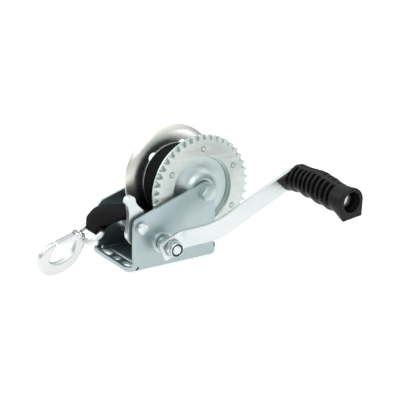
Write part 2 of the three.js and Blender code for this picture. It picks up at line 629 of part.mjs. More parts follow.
/**
 * The webbing's free run, from the drum round the hook's eye and back under itself to where it is sewn: the
 * middle's place in X and Z, half the width, and how far its edges droop as it is gathered.
 */
function strapStations() {
  const radius = ROLL.radius + 1.8;
  const onDrum = [-98, -106].map((angle) => polar(radius, angle))
    .map((at) => [at.x + DRUM.x, at.y + DRUM.z, STRAP.half, 0]);
  const free = [[5, 42.4, STRAP.half, 0], [-14, 49.4, STRAP.half, 0], [-27, 54.2, STRAP.half, 0],
    [-38, 57.4, STRAP.half, 0.8], [-47.5, 60, STRAP.half, 1.6], [-56, 60.4, STRAP.half, 2.5],
    [-64.5, 59.9, STRAP.half, 4], [-72, 57.2, 21.5, 5], [-78, 51.5, 16, 2]];
  const loop = arc(EYE.x, EYE.z, EYE.bar + 0.6 + STRAP.thick / 2, 160, 370, 7)
    .map((at) => [at.x, at.y, STRAP.eyeHalf, 0]);
  const back = [[-66, 47.5, 15, 1], [-62, 52, 20, 1], [-56, 54.6, 23, 1], [-48, 54.2, STRAP.half, 0.8],
    [-38, 52.6, STRAP.half, 0.6], [-28, 50.7, STRAP.half, 0.3], [-22.5, 49.3, STRAP.half, 0]];
  return [...onDrum, ...free, ...loop, ...back];
}

function strapTail() {
  const stations = strapStations();
  const path = new THREE.SplineCurve(stations.map(([x, z]) => new THREE.Vector2(x, z)));
  const perStation = 2;
  const last = stations.length - 1;
  const across = [-1, -0.5, 0, 0.5, 1];
  const rings = [];
  for (let i = 0; i <= last * perStation; i += 1) {
    const k = Math.min(Math.floor(i / perStation), last - 1);
    const part = i / perStation - k;
    const [half, droop] = [2, 3].map((n) => THREE.MathUtils.lerp(stations[k][n], stations[k + 1][n], part));
    const at = path.getPoint((k + part) / last);
    const along = path.getTangent((k + part) / last);
    const side = (place, height) => {
      const offset = height - droop * place * place;
      return new THREE.Vector3(at.x + along.y * offset, place * half, at.y - along.x * offset);
    };
    rings.push([...across.map((place) => side(place, STRAP.thick / 2)),
      ...[...across].reverse().map((place) => side(place, -STRAP.thick / 2))]);
  }
  return loft(rings);
}

/** The hook's flat outline around the middle of the eye's end bar, point up and latch side up. */
function hookOutline() {
  const outer = [[-13.3, -10.5], [-18.7, -22.1], [-25.7, -32.1], [-35.4, -38.9], [-47.3, -41.9],
    [-57.1, -41.6], [-64.5, -37.1], [-68.1, -28.6], [-67.6, -19.5], [-62.6, -12.5], [-54.7, -8],
    [-49.1, -7.2]];
  const inner = [[-47.7, -9.7], [-51.2, -15.1], [-55, -22.1], [-54.8, -26.5], [-50.3, -28.9], [-43.9, -28.5],
    [-37, -25.7], [-30.5, -20.6], [-27.1, -14], [-25.4, -8.4]];
  const toVectors = (points) => points.map(([x, z]) => new THREE.Vector2(x, z));
  const shape = [...new THREE.SplineCurve(toVectors(outer)).getPoints(18),
    ...new THREE.SplineCurve(toVectors(inner)).getPoints(14)];
  return [...shape, ...toVectors([[-24, -2.4], [-18.5, -0.6], [-14.2, -3]])];
}

/** The eye: a wide ring of round bar, its end bar on the origin and its plane across the hook. */
function hookEye() {
  const long = EYE.gapLong + 2 * EYE.bar;
  const half = EYE.gapWide / 2 + EYE.bar;
  const round = 5;
  const corners = outline([[-long, -half, round], [0, -half, round], [0, half, round],
    [-long, half, round]], 30);
  const path = new THREE.CatmullRomCurve3(corners.map(({ x, y }) => new THREE.Vector3(x, y, 0)), true,
    'catmullrom', 0.1);
  const ring = solid(new THREE.TubeGeometry(path, 36, EYE.bar, 8, true));
  return ring.rotate([0, -EYE.tilt, 0]);
}

const LATCH = { x: -21.5, z: -3.2, ear: 1.1, wide: 5.6, radius: 2 };

function snapHook() {
  const half = HOOK_THICK / 2;
  const body = plate(hookOutline(), -half, half);
  return body.add(hookEye()).subtract(plate(disc(LATCH.x, LATCH.z, LATCH.radius + CLEARANCE, 16), -10, 10));
}

/** The sheet latch: two ears on the rivet, and a bridge between them that closes the mouth. */
function hookLatch() {
  const side = outline([[3, -2.4, 2.2], [3.2, 3, 2.4], [-3.5, 2.6, 2], [-25.1, -4.8], [-25.1, -6.3],
    [-8, -5.6, 3], [-2, -5, 2]], 30);
  const bridge = [[-9.5, -5.6], [-9.5, -0.8], [-25.3, -4.8], [-25.3, -6.4]].reverse()
    .map(([x, z]) => new THREE.Vector2(x, z));
  const ear = (near, far) => plate(side, near, far).intersect(
    plate([[5, -9], [5, 5], [-27, 5], [-27, -9]].reverse().map(([x, z]) => new THREE.Vector2(x, z)), -8, 8));
  return ear(-LATCH.wide, -LATCH.wide + LATCH.ear).add(ear(LATCH.wide - LATCH.ear, LATCH.wide))
    .add(plate(bridge, -LATCH.wide + 0.2, LATCH.wide - 0.2))
    .subtract(plate(disc(0, 0, LATCH.radius + CLEARANCE, 16), -10, 10));
}

function hookGroup() {
  const end = LATCH.wide + 2.6;
  const pin = turned([[0, -LATCH.wide - 1.2], [2.8, -LATCH.wide - 1], [3.2, -LATCH.wide - 0.2],
    [LATCH.radius, -LATCH.wide - 0.2], [LATCH.radius, end - 0.8], [3.2, end - 0.8], [2.8, end],
    [0, end]], 16);
  const latchAt = [LATCH.x, 0, LATCH.z];
  return group(EYE.x, EYE.z, 0,
    node('snap_hook', snapHook(), FORGED),
    node('hook_latch', hookLatch(), ZINC, latchAt),
    node('latch_rivet', pin, BRIGHT, latchAt),
    node('latch_spring', coil(2.6, LATCH.wide + 0.5, LATCH.wide + 1.5, 1, 0.3), SPRING_STEEL, latchAt));
}

// ---- the winch ----

const winch = new THREE.Group();
winch.add(
  node('frame_bracket', frameBracket(), ZINC),
  group(PINION_AXIS.x, PINION_AXIS.y, 0,
    node('shaft_bushing_near', bushing(-1), BRIGHT),
    node('shaft_bushing_far', bushing(1), BRIGHT)),
  drumGroup(),
  crankGroup(),
  pawlGroup(),
  node('strap_tail', strapTail(), WEBBING),
  hookGroup());

export default winch;
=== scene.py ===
"""Looks for the boat trailer winch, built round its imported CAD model.

Metres, in the CAD's own frame: +Z up from the base, -X the way the webbing leaves, -Y the side of the crank.
"""
import json
import math

import bmesh
import bpy
from mathutils import Matrix, Vector


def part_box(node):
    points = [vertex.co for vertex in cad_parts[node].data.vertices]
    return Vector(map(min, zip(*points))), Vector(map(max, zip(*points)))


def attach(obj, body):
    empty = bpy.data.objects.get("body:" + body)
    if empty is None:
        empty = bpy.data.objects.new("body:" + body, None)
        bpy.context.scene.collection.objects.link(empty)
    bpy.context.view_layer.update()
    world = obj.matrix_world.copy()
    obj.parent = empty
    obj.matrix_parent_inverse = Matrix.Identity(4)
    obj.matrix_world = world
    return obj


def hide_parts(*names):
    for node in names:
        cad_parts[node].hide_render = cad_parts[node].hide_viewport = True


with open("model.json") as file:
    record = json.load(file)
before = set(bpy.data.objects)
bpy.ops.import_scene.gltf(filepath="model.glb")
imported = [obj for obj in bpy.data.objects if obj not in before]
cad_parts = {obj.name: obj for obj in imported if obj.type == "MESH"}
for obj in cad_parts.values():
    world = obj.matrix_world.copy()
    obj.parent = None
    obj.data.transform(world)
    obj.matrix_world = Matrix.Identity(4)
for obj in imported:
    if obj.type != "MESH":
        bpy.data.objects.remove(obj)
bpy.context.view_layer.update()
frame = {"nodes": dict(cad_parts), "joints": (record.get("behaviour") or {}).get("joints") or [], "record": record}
NODES = frame["nodes"]
MM = 0.001


# ---- camera ----

def make_camera():
    """The photograph's view: a long lens from the front left, a little above."""
    azimuth, elevation, roll = -0.615, 0.308, 0.025
    distance = 1.0367
    target = Vector((0.0614, 0.0, 0.0522))
    forward = Vector((-math.sin(azimuth) * math.cos(elevation), math.cos(azimuth) * math.cos(elevation),
                      -math.sin(elevation)))
    data = bpy.data.cameras.new("camera")
    data.lens = 80.97
    data.sensor_width = 36
    data.clip_end = 100
    camera = bpy.data.objects.new("camera", data)
    turn = forward.to_track_quat("-Z", "Y").to_matrix() @ Matrix.Rotation(roll, 3, "Z")
    camera.matrix_world = Matrix.Translation(target - distance * forward) @ turn.to_4x4()
    bpy.context.scene.collection.objects.link(camera)
    bpy.context.scene.camera = camera


# ---- light and floor ----

def area_light(name, place, size, power):
    """A soft rectangular light, aimed at the middle of the winch."""
    data = bpy.data.lights.new(name, "AREA")
    data.shape = "RECTANGLE"
    data.size, data.size_y = size
    data.energy = power
    light = bpy.data.objects.new(name, data)
    aim = Vector((0.0, 0.0, 0.06)) - Vector(place)
    light.matrix_world = Matrix.Translation(place) @ aim.to_track_quat("-Z", "Y").to_matrix().to_4x4()
    bpy.context.scene.collection.objects.link(light)


def make_lights():
    area_light("key", (-1.1, -1.3, 1.9), (1.6, 1.6), 14)
    area_light("fill", (1.7, -1.4, 0.8), (1.4, 1.0), 4)
    area_light("top", (0.2, 0.5, 2.1), (2.0, 2.0), 10)
    area_light("rim", (-0.9, 1.7, 1.0), (1.2, 0.8), 7)
    bpy.context.scene.view_settings.view_transform = "Standard"


def make_studio():
    """Surroundings that go from dim near the horizon to bright overhead, for the steel to mirror."""
    world = bpy.data.worlds.new("studio")
    bpy.context.scene.world = world
    world.use_nodes = True
    tree = world.node_tree
    background = tree.nodes["Background"]
    background.inputs["Strength"].default_value = 1.0
    place = tree.nodes.new("ShaderNodeTexCoord")
    split = tree.nodes.new("ShaderNodeSeparateXYZ")
    sky = tree.nodes.new("ShaderNodeValToRGB")
    tree.links.new(place.outputs["Generated"], split.inputs["Vector"])
    tree.links.new(split.outputs["Z"], sky.inputs["Fac"])
    tree.links.new(sky.outputs["Color"], background.inputs["Color"])
    pale, dim, bright = (0.93, 0.95, 0.96, 1), (0.27, 0.3, 0.32, 1), (0.95, 0.98, 1.0, 1)
    stops = sky.color_ramp.elements
    stops[0].position, stops[0].color = 0.1, pale
    stops[1].position, stops[1].color = 0.8, bright
    stops.new(0.17).color = dim


def make_floor():
    """A white floor that glows a little, so that only soft shadows show on it."""
    half, gap = 15.0, 0.0006
    mesh = bpy.data.meshes.new("floor")
    mesh.from_pydata([(-half, -half, 0), (half, -half, 0), (half, half, 0), (-half, half, 0)], [],
                     [(0, 1, 2, 3)])
    floor = bpy.data.objects.new("floor", mesh)
    floor.location.z = -gap
    bpy.context.scene.collection.objects.link(floor)
    material = bpy.data.materials.new("floor")
    material.use_nodes = True
    shader = material.node_tree.nodes["Principled BSDF"]
    shader.inputs["Base Color"].default_value = (0.35, 0.35, 0.35, 1)
    shader.inputs["Roughness"].default_value = 1.0
    shader.inputs["Emission Color"].default_value = (1, 1, 1, 1)
    shader.inputs["Emission Strength"].default_value = 0.78
    mesh.materials.append(material)


# ---- materials ----

# The dark blue grey towards which painted shade darkens a colour in hollows, where ambient occlusion finds little
# light.
RECESS_SHADE_COLOR = (0.035, 0.0525, 0.07)


class Shader:
    """A node material under construction: a Principled shader with object coordinates to hand."""

    def __init__(self, name, color, roughness, metallic=0.0):
        self.material = bpy.data.materials.new(name)
        self.material.use_nodes = True
        self.tree = self.material.node_tree
        self.bsdf = self.tree.nodes["Principled BSDF"]
        self.bsdf.inputs["Base Color"].default_value = (*color, 1)
        self.bsdf.inputs["Roughness"].default_value = roughness
        self.bsdf.inputs["Metallic"].default_value = metallic
        self.place = self.node("ShaderNodeTexCoord").outputs["Object"]
        self.height = None

    def node(self, kind, **settings):
        made = self.tree.nodes.new(kind)
        for key, value in settings.items():
            setattr(made, key, value)
        return made

    def link(self, source, target):
        self.tree.links.new(source, target)

    def noise(self, scale, detail, roughness=0.5):
        made = self.node("ShaderNodeTexNoise")
        made.inputs["Scale"].default_value = scale
        made.inputs["Detail"].default_value = detail
        made.inputs["Roughness"].default_value = roughness
        self.link(self.place, made.inputs["Vector"])
        return made.outputs["Fac"]

    def ramp(self, value, low, high, out_low=0.0, out_high=1.0):
        """A value's stretch from low to high, mapped to the stretch from out_low to out_high."""
        made = self.node("ShaderNodeMapRange")
        made.inputs["From Min"].default_value = low
        made.inputs["From Max"].default_value = high
        made.inputs["To Min"].default_value = out_low
        made.inputs["To Max"].default_value = out_high
        self.link(value, made.inputs["Value"])
        return made.outputs["Result"]

    def mix(self, factor, first, second):
        """A colour between two, by a factor; either may be a colour or a socket."""
        made = self.node("ShaderNodeMix", data_type="RGBA")
        self.link(factor, made.inputs[0])
        for socket, value in ((made.inputs[6], first), (made.inputs[7], second)):
            if isinstance(value, tuple):
                socket.default_value = (*value, 1)
            else:
                self.link(value, socket)
        return made.outputs[2]

    def math(self, operation, first, second):
        made = self.node("ShaderNodeMath", operation=operation)
        for socket, value in zip(made.inputs, (first, second)):
            if isinstance(value, (int, float)):
                socket.default_value = value
            else:
                self.link(value, socket)
        return made.outputs[0]

    def recess_shade(self, color, reach, own_walls):
        """A colour that darkens where little light reaches; own_walls leaves other pieces out."""
        closed, wide_open = 0.25, 0.95
        shade = self.node("ShaderNodeAmbientOcclusion", samples=16, only_local=own_walls)
        shade.inputs["Distance"].default_value = reach
        return self.mix(self.ramp(shade.outputs["AO"], closed, wide_open), RECESS_SHADE_COLOR, color)

    def color(self, socket):
        self.link(socket, self.bsdf.inputs["Base Color"])

    def roughness(self, socket):
        self.link(socket, self.bsdf.inputs["Roughness"])

    def bump(self, socket, distance, strength):
        """Relief of a height in metres, on top of the relief that is there already."""
        made = self.node("ShaderNodeBump")
        made.inputs["Strength"].default_value = strength
        made.inputs["Distance"].default_value = distance
        self.link(socket, made.inputs["Height"])
        if self.height:
            self.link(self.height, made.inputs["Normal"])
        self.height = made.outputs["Normal"]
        self.link(self.height, self.bsdf.inputs["Normal"])


def plated(name, color, roughness, blotch=0.5, grain=0.00002, tint=(0.93, 0.97, 1.0), recess_shade=0,
           own_walls=False):
    """Zinc-plated steel: cloudy passivation, fine grain, rubbed spots and, if asked, painted shade in hollows."""
    shader = Shader(name, color, roughness, 1.0)
    cloud = shader.noise(34, 5, 0.6)
    smudge = shader.noise(95, 6, 0.65)
    clouded_color = tuple(0.86 * c * t for c, t in zip(color, tint))
    rubbed_color = tuple(0.72 * c for c in color)
    clouded = shader.mix(shader.ramp(cloud, 0.35, 0.7, 0, blotch), color, clouded_color)
    spotted = shader.mix(shader.ramp(smudge, 0.62, 0.8, 0, 0.35), clouded, rubbed_color)
    # Painted shade: given a reach, the colour darkens in hollows by ambient occlusion.
    shader.color(shader.recess_shade(spotted, recess_shade, own_walls) if recess_shade else spotted)
    spread = 0.05
    mottled = shader.ramp(cloud, 0.3, 0.7, roughness - spread, roughness + spread)
    dulled = shader.ramp(smudge, 0.5, 0.8, 0, 0.08)
    shader.roughness(shader.math("ADD", mottled, dulled))
    shader.bump(shader.noise(900, 3, 0.6), grain, 0.5)
    shader.bump(shader.noise(60, 2, 0.5), 5 * grain, 0.25)
    return shader.material


def rubber_material():
    """Moulded black rubber with a fine matt grain."""
    shader = Shader("grip_rubber", (0.0035, 0.0035, 0.0035), 0.42)
    shader.bsdf.inputs["Specular IOR Level"].default_value = 0.22
    shader.roughness(shader.ramp(shader.noise(220, 4, 0.6), 0.3, 0.7, 0.36, 0.5))
    shader.bump(shader.noise(2600, 2), 0.00004, 0.5)
    return shader.material


def nylon_material():
    """The lock nut's dark blue ring."""
    shader = Shader("nylon", (0.012, 0.02, 0.06), 0.38)
    shader.bump(shader.noise(1500, 2), 0.00002, 0.3)
    return shader.material


def ridges(shader, distance, pitch):
    """A value from 0 to 1 that rises and falls once in each pitch along a distance."""
    phase = shader.math("MULTIPLY", distance, 2 * math.pi / pitch)
    return shader.ramp(shader.math("SINE", phase, 0), -1, 1)


def webbing_material():
    """Black woven webbing: rib cords along it, finer picks across it, a little dust, and a painted sheen on each
    rib's crest.
    """
    shader = Shader("webbing", (0.012, 0.012, 0.0125), 0.6)
    shader.bsdf.inputs["Sheen Weight"].default_value = 0.01
    shader.bsdf.inputs["Specular IOR Level"].default_value = 0.07
    shader.bsdf.inputs["Sheen Roughness"].default_value = 0.4
    dust = shader.noise(120, 5, 0.6)
    weave = shader.node("ShaderNodeUVMap", uv_map="weave").outputs["UV"]
    split = shader.node("ShaderNodeSeparateXYZ")
    shader.link(weave, split.inputs["Vector"])
    ribs_and_sheen = ridges(shader, split.outputs["X"], 0.0031)
    picks = ridges(shader, split.outputs["Y"], 0.0016)
    black = shader.mix(shader.ramp(dust, 0.4, 0.75), (0.001, 0.001, 0.001), (0.005, 0.005, 0.0055))
    # Painted sheen: each rib's crest is coloured lighter than the black weave.
    shader.color(shader.mix(shader.math("MULTIPLY", ribs_and_sheen, 0.6), black, (0.020, 0.020, 0.021)))
    shader.bump(shader.math("ADD", ribs_and_sheen, shader.math("MULTIPLY", picks, 0.35)), 0.00025, 0.8)
    shader.roughness(shader.ramp(dust, 0.3, 0.7, 0.7, 0.85))
    return shader.material


def make_materials():
    """The record's slots by their names, and a few variants of them for single pieces."""
    ivory = (1.0, 0.98, 0.9)
    return {
        "zinc": plated("zinc", (0.49, 0.58, 0.59), 0.34),
        "gear_zinc": plated("gear_zinc", (0.70, 0.74, 0.70), 0.46, blotch=0.4, grain=0.00001),
        "flange_bright": plated("flange_bright", (0.74, 0.73, 0.66), 0.32, tint=ivory),
        "bright_steel": plated("bright_steel", (0.74, 0.76, 0.76), 0.27, blotch=0.3),
        "forged": plated("forged", (0.74, 0.76, 0.74), 0.33, blotch=0.15, grain=0.00005),
        "spring_steel": plated("spring_steel", (0.42, 0.44, 0.46), 0.3),
        "nylon": nylon_material(),
        "grip_rubber": rubber_material(),
        "webbing": webbing_material(),
        # Painted highlight: the pale metal colour of the bead on the roll's far edge.
        "selvage": plated("selvage", (0.7, 0.72, 0.72), 0.5),
        # The frame's and the far flange's zinc below darken by ambient occlusion: painted shade in hollows.
        "frame_zinc_painted_shade": plated("frame_zinc_painted_shade", (0.48, 0.57, 0.58), 0.36, recess_shade=0.06, own_walls=True),
        "flange_painted_shade": plated("flange_painted_shade", (0.86, 0.85, 0.79), 0.3, tint=ivory, recess_shade=0.03),
        "dish_zinc": plated("dish_zinc", (0.64, 0.73, 0.71), 0.38, blotch=0.3),
        # Darkens by ambient occlusion: painted shade in hollows.
        "shaded_steel": plated("shaded_steel", (0.74, 0.79, 0.79), 0.27, blotch=0.3, recess_shade=0.012),
        "arm_steel": plated("arm_steel", (0.76, 0.80, 0.79), 0.36, blotch=0.2),
    }


make_camera()
make_lights()
make_studio()
make_floor()
MATERIALS = make_materials()


# ---- mesh tools (millimetres) ----

def polar(radius, degrees, centre=(0, 0)):
    """A point at a distance and direction from a centre."""
    angle = math.radians(degrees)
    return (centre[0] + radius * math.cos(angle), centre[1] + radius * math.sin(angle))


def arc(centre, radius, start, end, steps):
    """Points along an arc between two directions in degrees."""
    return [polar(radius, start + (end - start) * i / steps, centre) for i in range(steps + 1)]


def circle(centre, radius, sides=48):
    return [polar(radius, 360 * i / sides, centre) for i in range(sides)]


def stadium(a, b, radius, steps=12):
    """A slot's outline, from a to b with round ends."""
    heading = math.degrees(math.atan2(b[1] - a[1], b[0] - a[0]))
    return (arc(b, radius, heading - 90, heading + 90, steps)
            + arc(a, radius, heading + 90, heading + 270, steps))


def moved(points, centre):
    return [(x + centre[0], z + centre[1]) for x, z in points]


def outline(corners, step=9.0):
    """Corners (x, y, fillet radius), counter-clockwise, as points with round corners."""
    points = []
    for i, (x, y, *rest) in enumerate(corners):
        radius = rest[0] if rest else 0
        corner = Vector((x, y))
        if not radius:
            points.append((x, y))
            continue
        back = (Vector(corners[i - 1][:2]) - corner).normalized()
        on = (Vector(corners[(i + 1) % len(corners)][:2]) - corner).normalized()
        half = math.acos(max(-1.0, min(1.0, back.dot(on)))) / 2
        middle = corner + (back + on).normalized() * (radius / math.sin(half))
        start = corner + back * (radius / math.tan(half)) - middle
        end = corner + on * (radius / math.tan(half)) - middle
        turn = math.atan2(start.x * end.y - start.y * end.x, start.dot(end))
        steps = max(1, math.ceil(abs(math.degrees(turn)) / step))
        first = math.degrees(math.atan2(start.y, start.x))
        points += arc(middle, radius, first, first + math.degrees(turn), steps)
    return points


def lathe(profile, axis, sides=96):
    """A closed profile of (radius, y), or one that ends on the axis, turned about a line along Y."""
    bm = bmesh.new()
    rings = []
    for radius, y in profile:
        if radius == 0:
            rings.append([bm.verts.new((axis[0], y, axis[1]))])
            continue
        rings.append([bm.verts.new((x, y, z)) for x, z in circle(axis, radius, sides)])
    joined = list(zip(rings, rings[1:]))
    if profile[0][0] and profile[-1][0]:
        joined.append((rings[-1], rings[0]))
    for a, b in joined:
        for k in range(sides):
            quad = (a[k % len(a)], a[(k + 1) % len(a)], b[(k + 1) % len(b)], b[k % len(b)])
            bm.faces.new(list(dict.fromkeys(quad)))
    bmesh.ops.recalc_face_normals(bm, faces=bm.faces)
    return bm


def mesh_of(curve):
    """A curve's surface as a mesh; the curve is used up."""
    holder = bpy.data.objects.new("curve", curve)
    bpy.context.scene.collection.objects.link(holder)
    mesh = bpy.data.meshes.new_from_object(holder.evaluated_get(bpy.context.evaluated_depsgraph_get()))
    bm = bmesh.new()
    bm.from_mesh(mesh)
    bmesh.ops.remove_doubles(bm, verts=bm.verts, dist=1e-3)
    bpy.data.objects.remove(holder)
    bpy.data.curves.remove(curve)
    bpy.data.meshes.remove(mesh)
    return bm


def plate(loops, near, far, bevel=0.0, steps=2):
    """Outlines in X and Z, the first outside and the others holes, made solid along Y with round edges."""
    curve = bpy.data.curves.new("outline", "CURVE")
    curve.dimensions = "2D"
    curve.fill_mode = "BOTH"
    curve.extrude = (far - near) / 2 - bevel
    curve.bevel_depth = bevel
    curve.bevel_resolution = steps
    curve.offset = -bevel
    for loop in loops:
        spline = curve.splines.new("POLY")
        spline.points.add(len(loop) - 1)
        for point, (x, z) in zip(spline.points, loop):
            point.co = (x, z, 0, 1)
        spline.use_cyclic_u = True
    bm = mesh_of(curve)
    bmesh.ops.transform(bm, verts=bm.verts, matrix=Matrix.Translation((0, (near + far) / 2, 0))
                        @ Matrix.Rotation(math.pi / 2, 4, "X"))
    bmesh.ops.recalc_face_normals(bm, faces=bm.faces)
    return bm


def bore(centre, radius, near, far, sides=48):
    """A cutter along Y for a round hole."""
    return plate([circle(centre, radius, sides)], near, far)


def slab(loops, low, high):
    """Outlines in X and Y made solid along Z, with sharp edges."""
    bm = plate(loops, -high, -low)
    bmesh.ops.transform(bm, verts=bm.verts, matrix=Matrix.Rotation(-math.pi / 2, 4, "X"))
    return bm


def loft(rings):
    """Rings of points joined in order, closed round and at both ends."""
    bm = bmesh.new()
    rows = [[bm.verts.new(point) for point in ring] for ring in rings]
    for a, b in zip(rows, rows[1:]):
        for k in range(len(a)):
            bm.faces.new((a[k], a[(k + 1) % len(a)], b[(k + 1) % len(b)], b[k]))
    bm.faces.new(rows[0])
    bm.faces.new(rows[-1])
    bmesh.ops.recalc_face_normals(bm, faces=bm.faces)
    return bm


def combine(first, second, operation):
    """Two solids joined by a boolean; both are used up."""
    objects = []
    for bm in (first, second):
        mesh = bpy.data.meshes.new("operand")
        bmesh.ops.triangulate(bm, faces=[face for face in bm.faces if len(face.verts) > 4])
        bm.to_mesh(mesh)
        bm.free()
        holder = bpy.data.objects.new("operand", mesh)
        bpy.context.scene.collection.objects.link(holder)
        objects.append(holder)
    modifier = objects[0].modifiers.new("boolean", "BOOLEAN")
    modifier.operation = operation
    modifier.solver = "EXACT"
    modifier.object = objects[1]
    made = objects[0].evaluated_get(bpy.context.evaluated_depsgraph_get())
    result = bmesh.new()
    result.from_mesh(made.data)
    bmesh.ops.remove_doubles(result, verts=result.verts, dist=1e-4)
    for holder in objects:
        mesh = holder.data
        bpy.data.objects.remove(holder)
        bpy.data.meshes.remove(mesh)
    return result


def cut(body, *cutters):
    for cutter in cutters:
        body = combine(body, cutter, "DIFFERENCE")
    return body


def piece(name, bm, body, slot, nodes=(), material=None, sharp=32, bevel=0.0, segments=2):
    """A finished piece from a mesh in millimetres: it rides on a body and stands for CAD nodes."""
    mesh = bpy.data.meshes.new(name)
    bmesh.ops.scale(bm, vec=(MM, MM, MM), verts=bm.verts)
    for face in bm.faces:
        face.smooth = True
    for edge in bm.edges:
        edge.smooth = len(edge.link_faces) == 2 and edge.calc_face_angle(0) < math.radians(sharp)
    bm.to_mesh(mesh)
    bm.free()
    made = bpy.data.objects.new(name, mesh)
    bpy.context.scene.collection.objects.link(made)
    mesh.materials.append(material or MATERIALS[slot])
    if bevel:
        modifier = made.modifiers.new("edges", "BEVEL")
        modifier.width = bevel * MM
        modifier.segments = segments
        modifier.limit_method = "ANGLE"
        modifier.angle_limit = math.radians(sharp)
        modifier.harden_normals = True
    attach(made, body)
    if nodes:
        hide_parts(*nodes)
    return made


# ---- places, from the frame ----

def axis_of(joint):
    """Where a joint's axis is, seen along Y, in millimetres."""
    x, _, z = next(j for j in frame["joints"] if j["name"] == joint)["pos_m"]
    return (x / MM, z / MM)


def along_y(node):
    """The nearest and farthest Y of a CAD node, in millimetres."""
    low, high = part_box(node)
    return low[1] / MM, high[1] / MM


DRUM = axis_of("drum_spin")
PINION = axis_of("pinion_spin")
GRIP = axis_of("grip_spin")
PAWL = axis_of("pawl_tilt")
EYE = axis_of("hook_swing")
LATCH = axis_of("latch_swing")
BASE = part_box("frame_bracket")[1][0] / MM     # half the base's length
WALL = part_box("frame_bracket")[1][1] / MM     # half the frame's width
SHEET = 3.0                                   # the frame's sheet
AXLE_RADIUS = 5.0
SHAFT_RADIUS = 7.7
M10_FLATS = 17
ARM_TILT = 23.9


# ---- frame ----

def tub(inset, bend, bottom):
    """A tub, filled solid, with round plan corners and a round bottom edge."""
    steps, plan_corner, height = 8, 8, 100
    rings = []
    for k in range(steps + 1):
        angle = math.pi / 2 * k / steps
        out = bend * math.sin(angle) - bend
        rise = bend * (1 - math.cos(angle))
        corner = max(plan_corner - inset + out, 0.3)
        x, y = BASE - inset + out, WALL - inset + out
        ring = outline([(-x, -y, corner), (x, -y, corner), (x, y, corner), (-x, y, corner)])
        rings.append([(px, py, bottom + rise) for px, py in ring])
    rings.append([(px, py, height) for px, py, _ in rings[-1]])
    return loft(rings)


def frame_outline():
    """Both walls and both lips, seen from the side."""
    slope, level = 0.326, 74.2
    front, rear, front_lip, rear_lip = -51.3, 54.0, 6.4, 12.0
    return outline([(-BASE - 1, -1), (BASE + 1, -1), (BASE + 1, rear_lip, 0.5), (BASE, rear_lip, 0.3),
                    (rear + 0.9, rear_lip), (rear, rear_lip + 1), (rear, level + slope * rear, 12.3),
                    (front, level + slope * front, 10), (front, front_lip, 3.5), (-BASE - 1, front_lip)], 6)


def pressed_rib():
    """The low rib across the base, behind its front holes."""
    x_middle, half_length = -39.5, 30
    section = ((-3, -1), (3, -1), (2, 0.4), (0, 1.3), (-2, 0.4))
    return loft([[(x_middle + x, y, SHEET + z) for x, z in section] for y in (-half_length, half_length)])


def with_base_holes(shell):
    """Two rows of a slot, a round hole and a slot."""
    row_x, slot_y, radius, half_slide = 49.2, 22, 5.25, 3.75
    for x in (-row_x, row_x):
        shell = cut(shell, slab([circle((x, 0), radius)], -1, SHEET + 1))
        for y in (-slot_y, slot_y):
            slot = stadium((x, y - half_slide), (x, y + half_slide), radius)
            shell = cut(shell, slab([slot], -1, SHEET + 1))
    return shell


def with_relief_cuts(shell, beyond):
    """The narrow cuts at the ends of each bend between a wall and the base."""
    bend, radius = 4, 1.25
    front = stadium((-48.4, -1), (-45.7, 4.3), radius)
    rear = stadium((54.9, 14), (54.9, 10), radius)
    for near, far in ((-beyond, bend + SHEET - WALL), (WALL - bend - SHEET, beyond)):
        shell = cut(shell, plate([front], near, far), plate([rear], near, far))
    return shell


def build_frame():
    bend, beyond = 4, WALL + 5
    shell = combine(tub(0, bend, 0), tub(SHEET, bend - SHEET, SHEET), "DIFFERENCE")
    shell = combine(shell, plate([frame_outline()], -beyond, beyond), "INTERSECT")
    shell = combine(shell, pressed_rib(), "UNION")
    shell = with_relief_cuts(with_base_holes(shell), beyond)
    shell = cut(shell, bore(PINION, 10.6, -beyond, beyond), bore(DRUM, AXLE_RADIUS + 0.3, -beyond, beyond),
                bore(PAWL, 4.3, -beyond, 0))
    # The shell's colour carries painted shade in its hollows, by ambient occlusion.
    piece("frame_shell", shell, "frame", "zinc", ["frame_bracket"], MATERIALS["frame_zinc_painted_shade"], sharp=38,
          bevel=0.45)


# ---- fasteners ----

def hex_head(axis, across, near, far, turn=0.0, crown_near=True):
    """A hexagon across flats whose crowned face has its corners chamfered by a cone."""
    corner = across / math.sqrt(3)
    prism = plate([[polar(corner, turn + 60 * k, axis) for k in range(6)]], near, far, 0.12, 1)
    reach, drop = 0.47 * across, 0.16 * across
    wide = reach + 2 * drop
    if crown_near:
        cone = [(0, near), (reach, near), (wide, near + drop), (wide, far), (0, far)]
    else:
        cone = [(0, near), (wide, near), (wide, far - drop), (reach, far), (0, far)]
    return combine(prism, lathe(cone, axis), "INTERSECT")


def shank_end(axis, radius, tip, root, pitch=1.5):
    """A threaded bolt end from its tip to its root."""
    depth, chamfer = 0.55, 1
    step = 1 if root > tip else -1
    profile = [(0, tip), (radius - chamfer, tip), (radius, tip + step * 0.9)]
    y = tip + step * 1.2
    while (root - y) * step > pitch:
        profile += [(radius, y), (radius - depth, y + step * pitch / 2)]
        y += step * pitch
    profile += [(radius, y), (radius, root), (0, root)]
    return lathe(profile, axis, 48)


def lock_nut(axis, near, far):
    """An M10 nut with a round collar for its locking ring on the near side."""
    height = far - near
    collar, hole = 0.455 * M10_FLATS, AXLE_RADIUS + 0.2
    hexagon = hex_head(axis, M10_FLATS, near + 0.38 * height, far)
    dome = lathe([(collar - 0.85, near + 0.3), (collar - 0.6, near), (collar - 0.4, near + 0.05),
                  (collar - 0.1, near + 0.5), (collar, near + 1.1), (collar, far - 3), (hole, far - 3),
                  (hole, near + 2.4), (collar - 0.85, near + 2.4)], axis)
    drill = lathe([(0, near - 1), (hole, near - 1), (hole, far + 1), (0, far + 1)], axis, 64)
    return combine(cut(hexagon, drill), dome, "UNION")


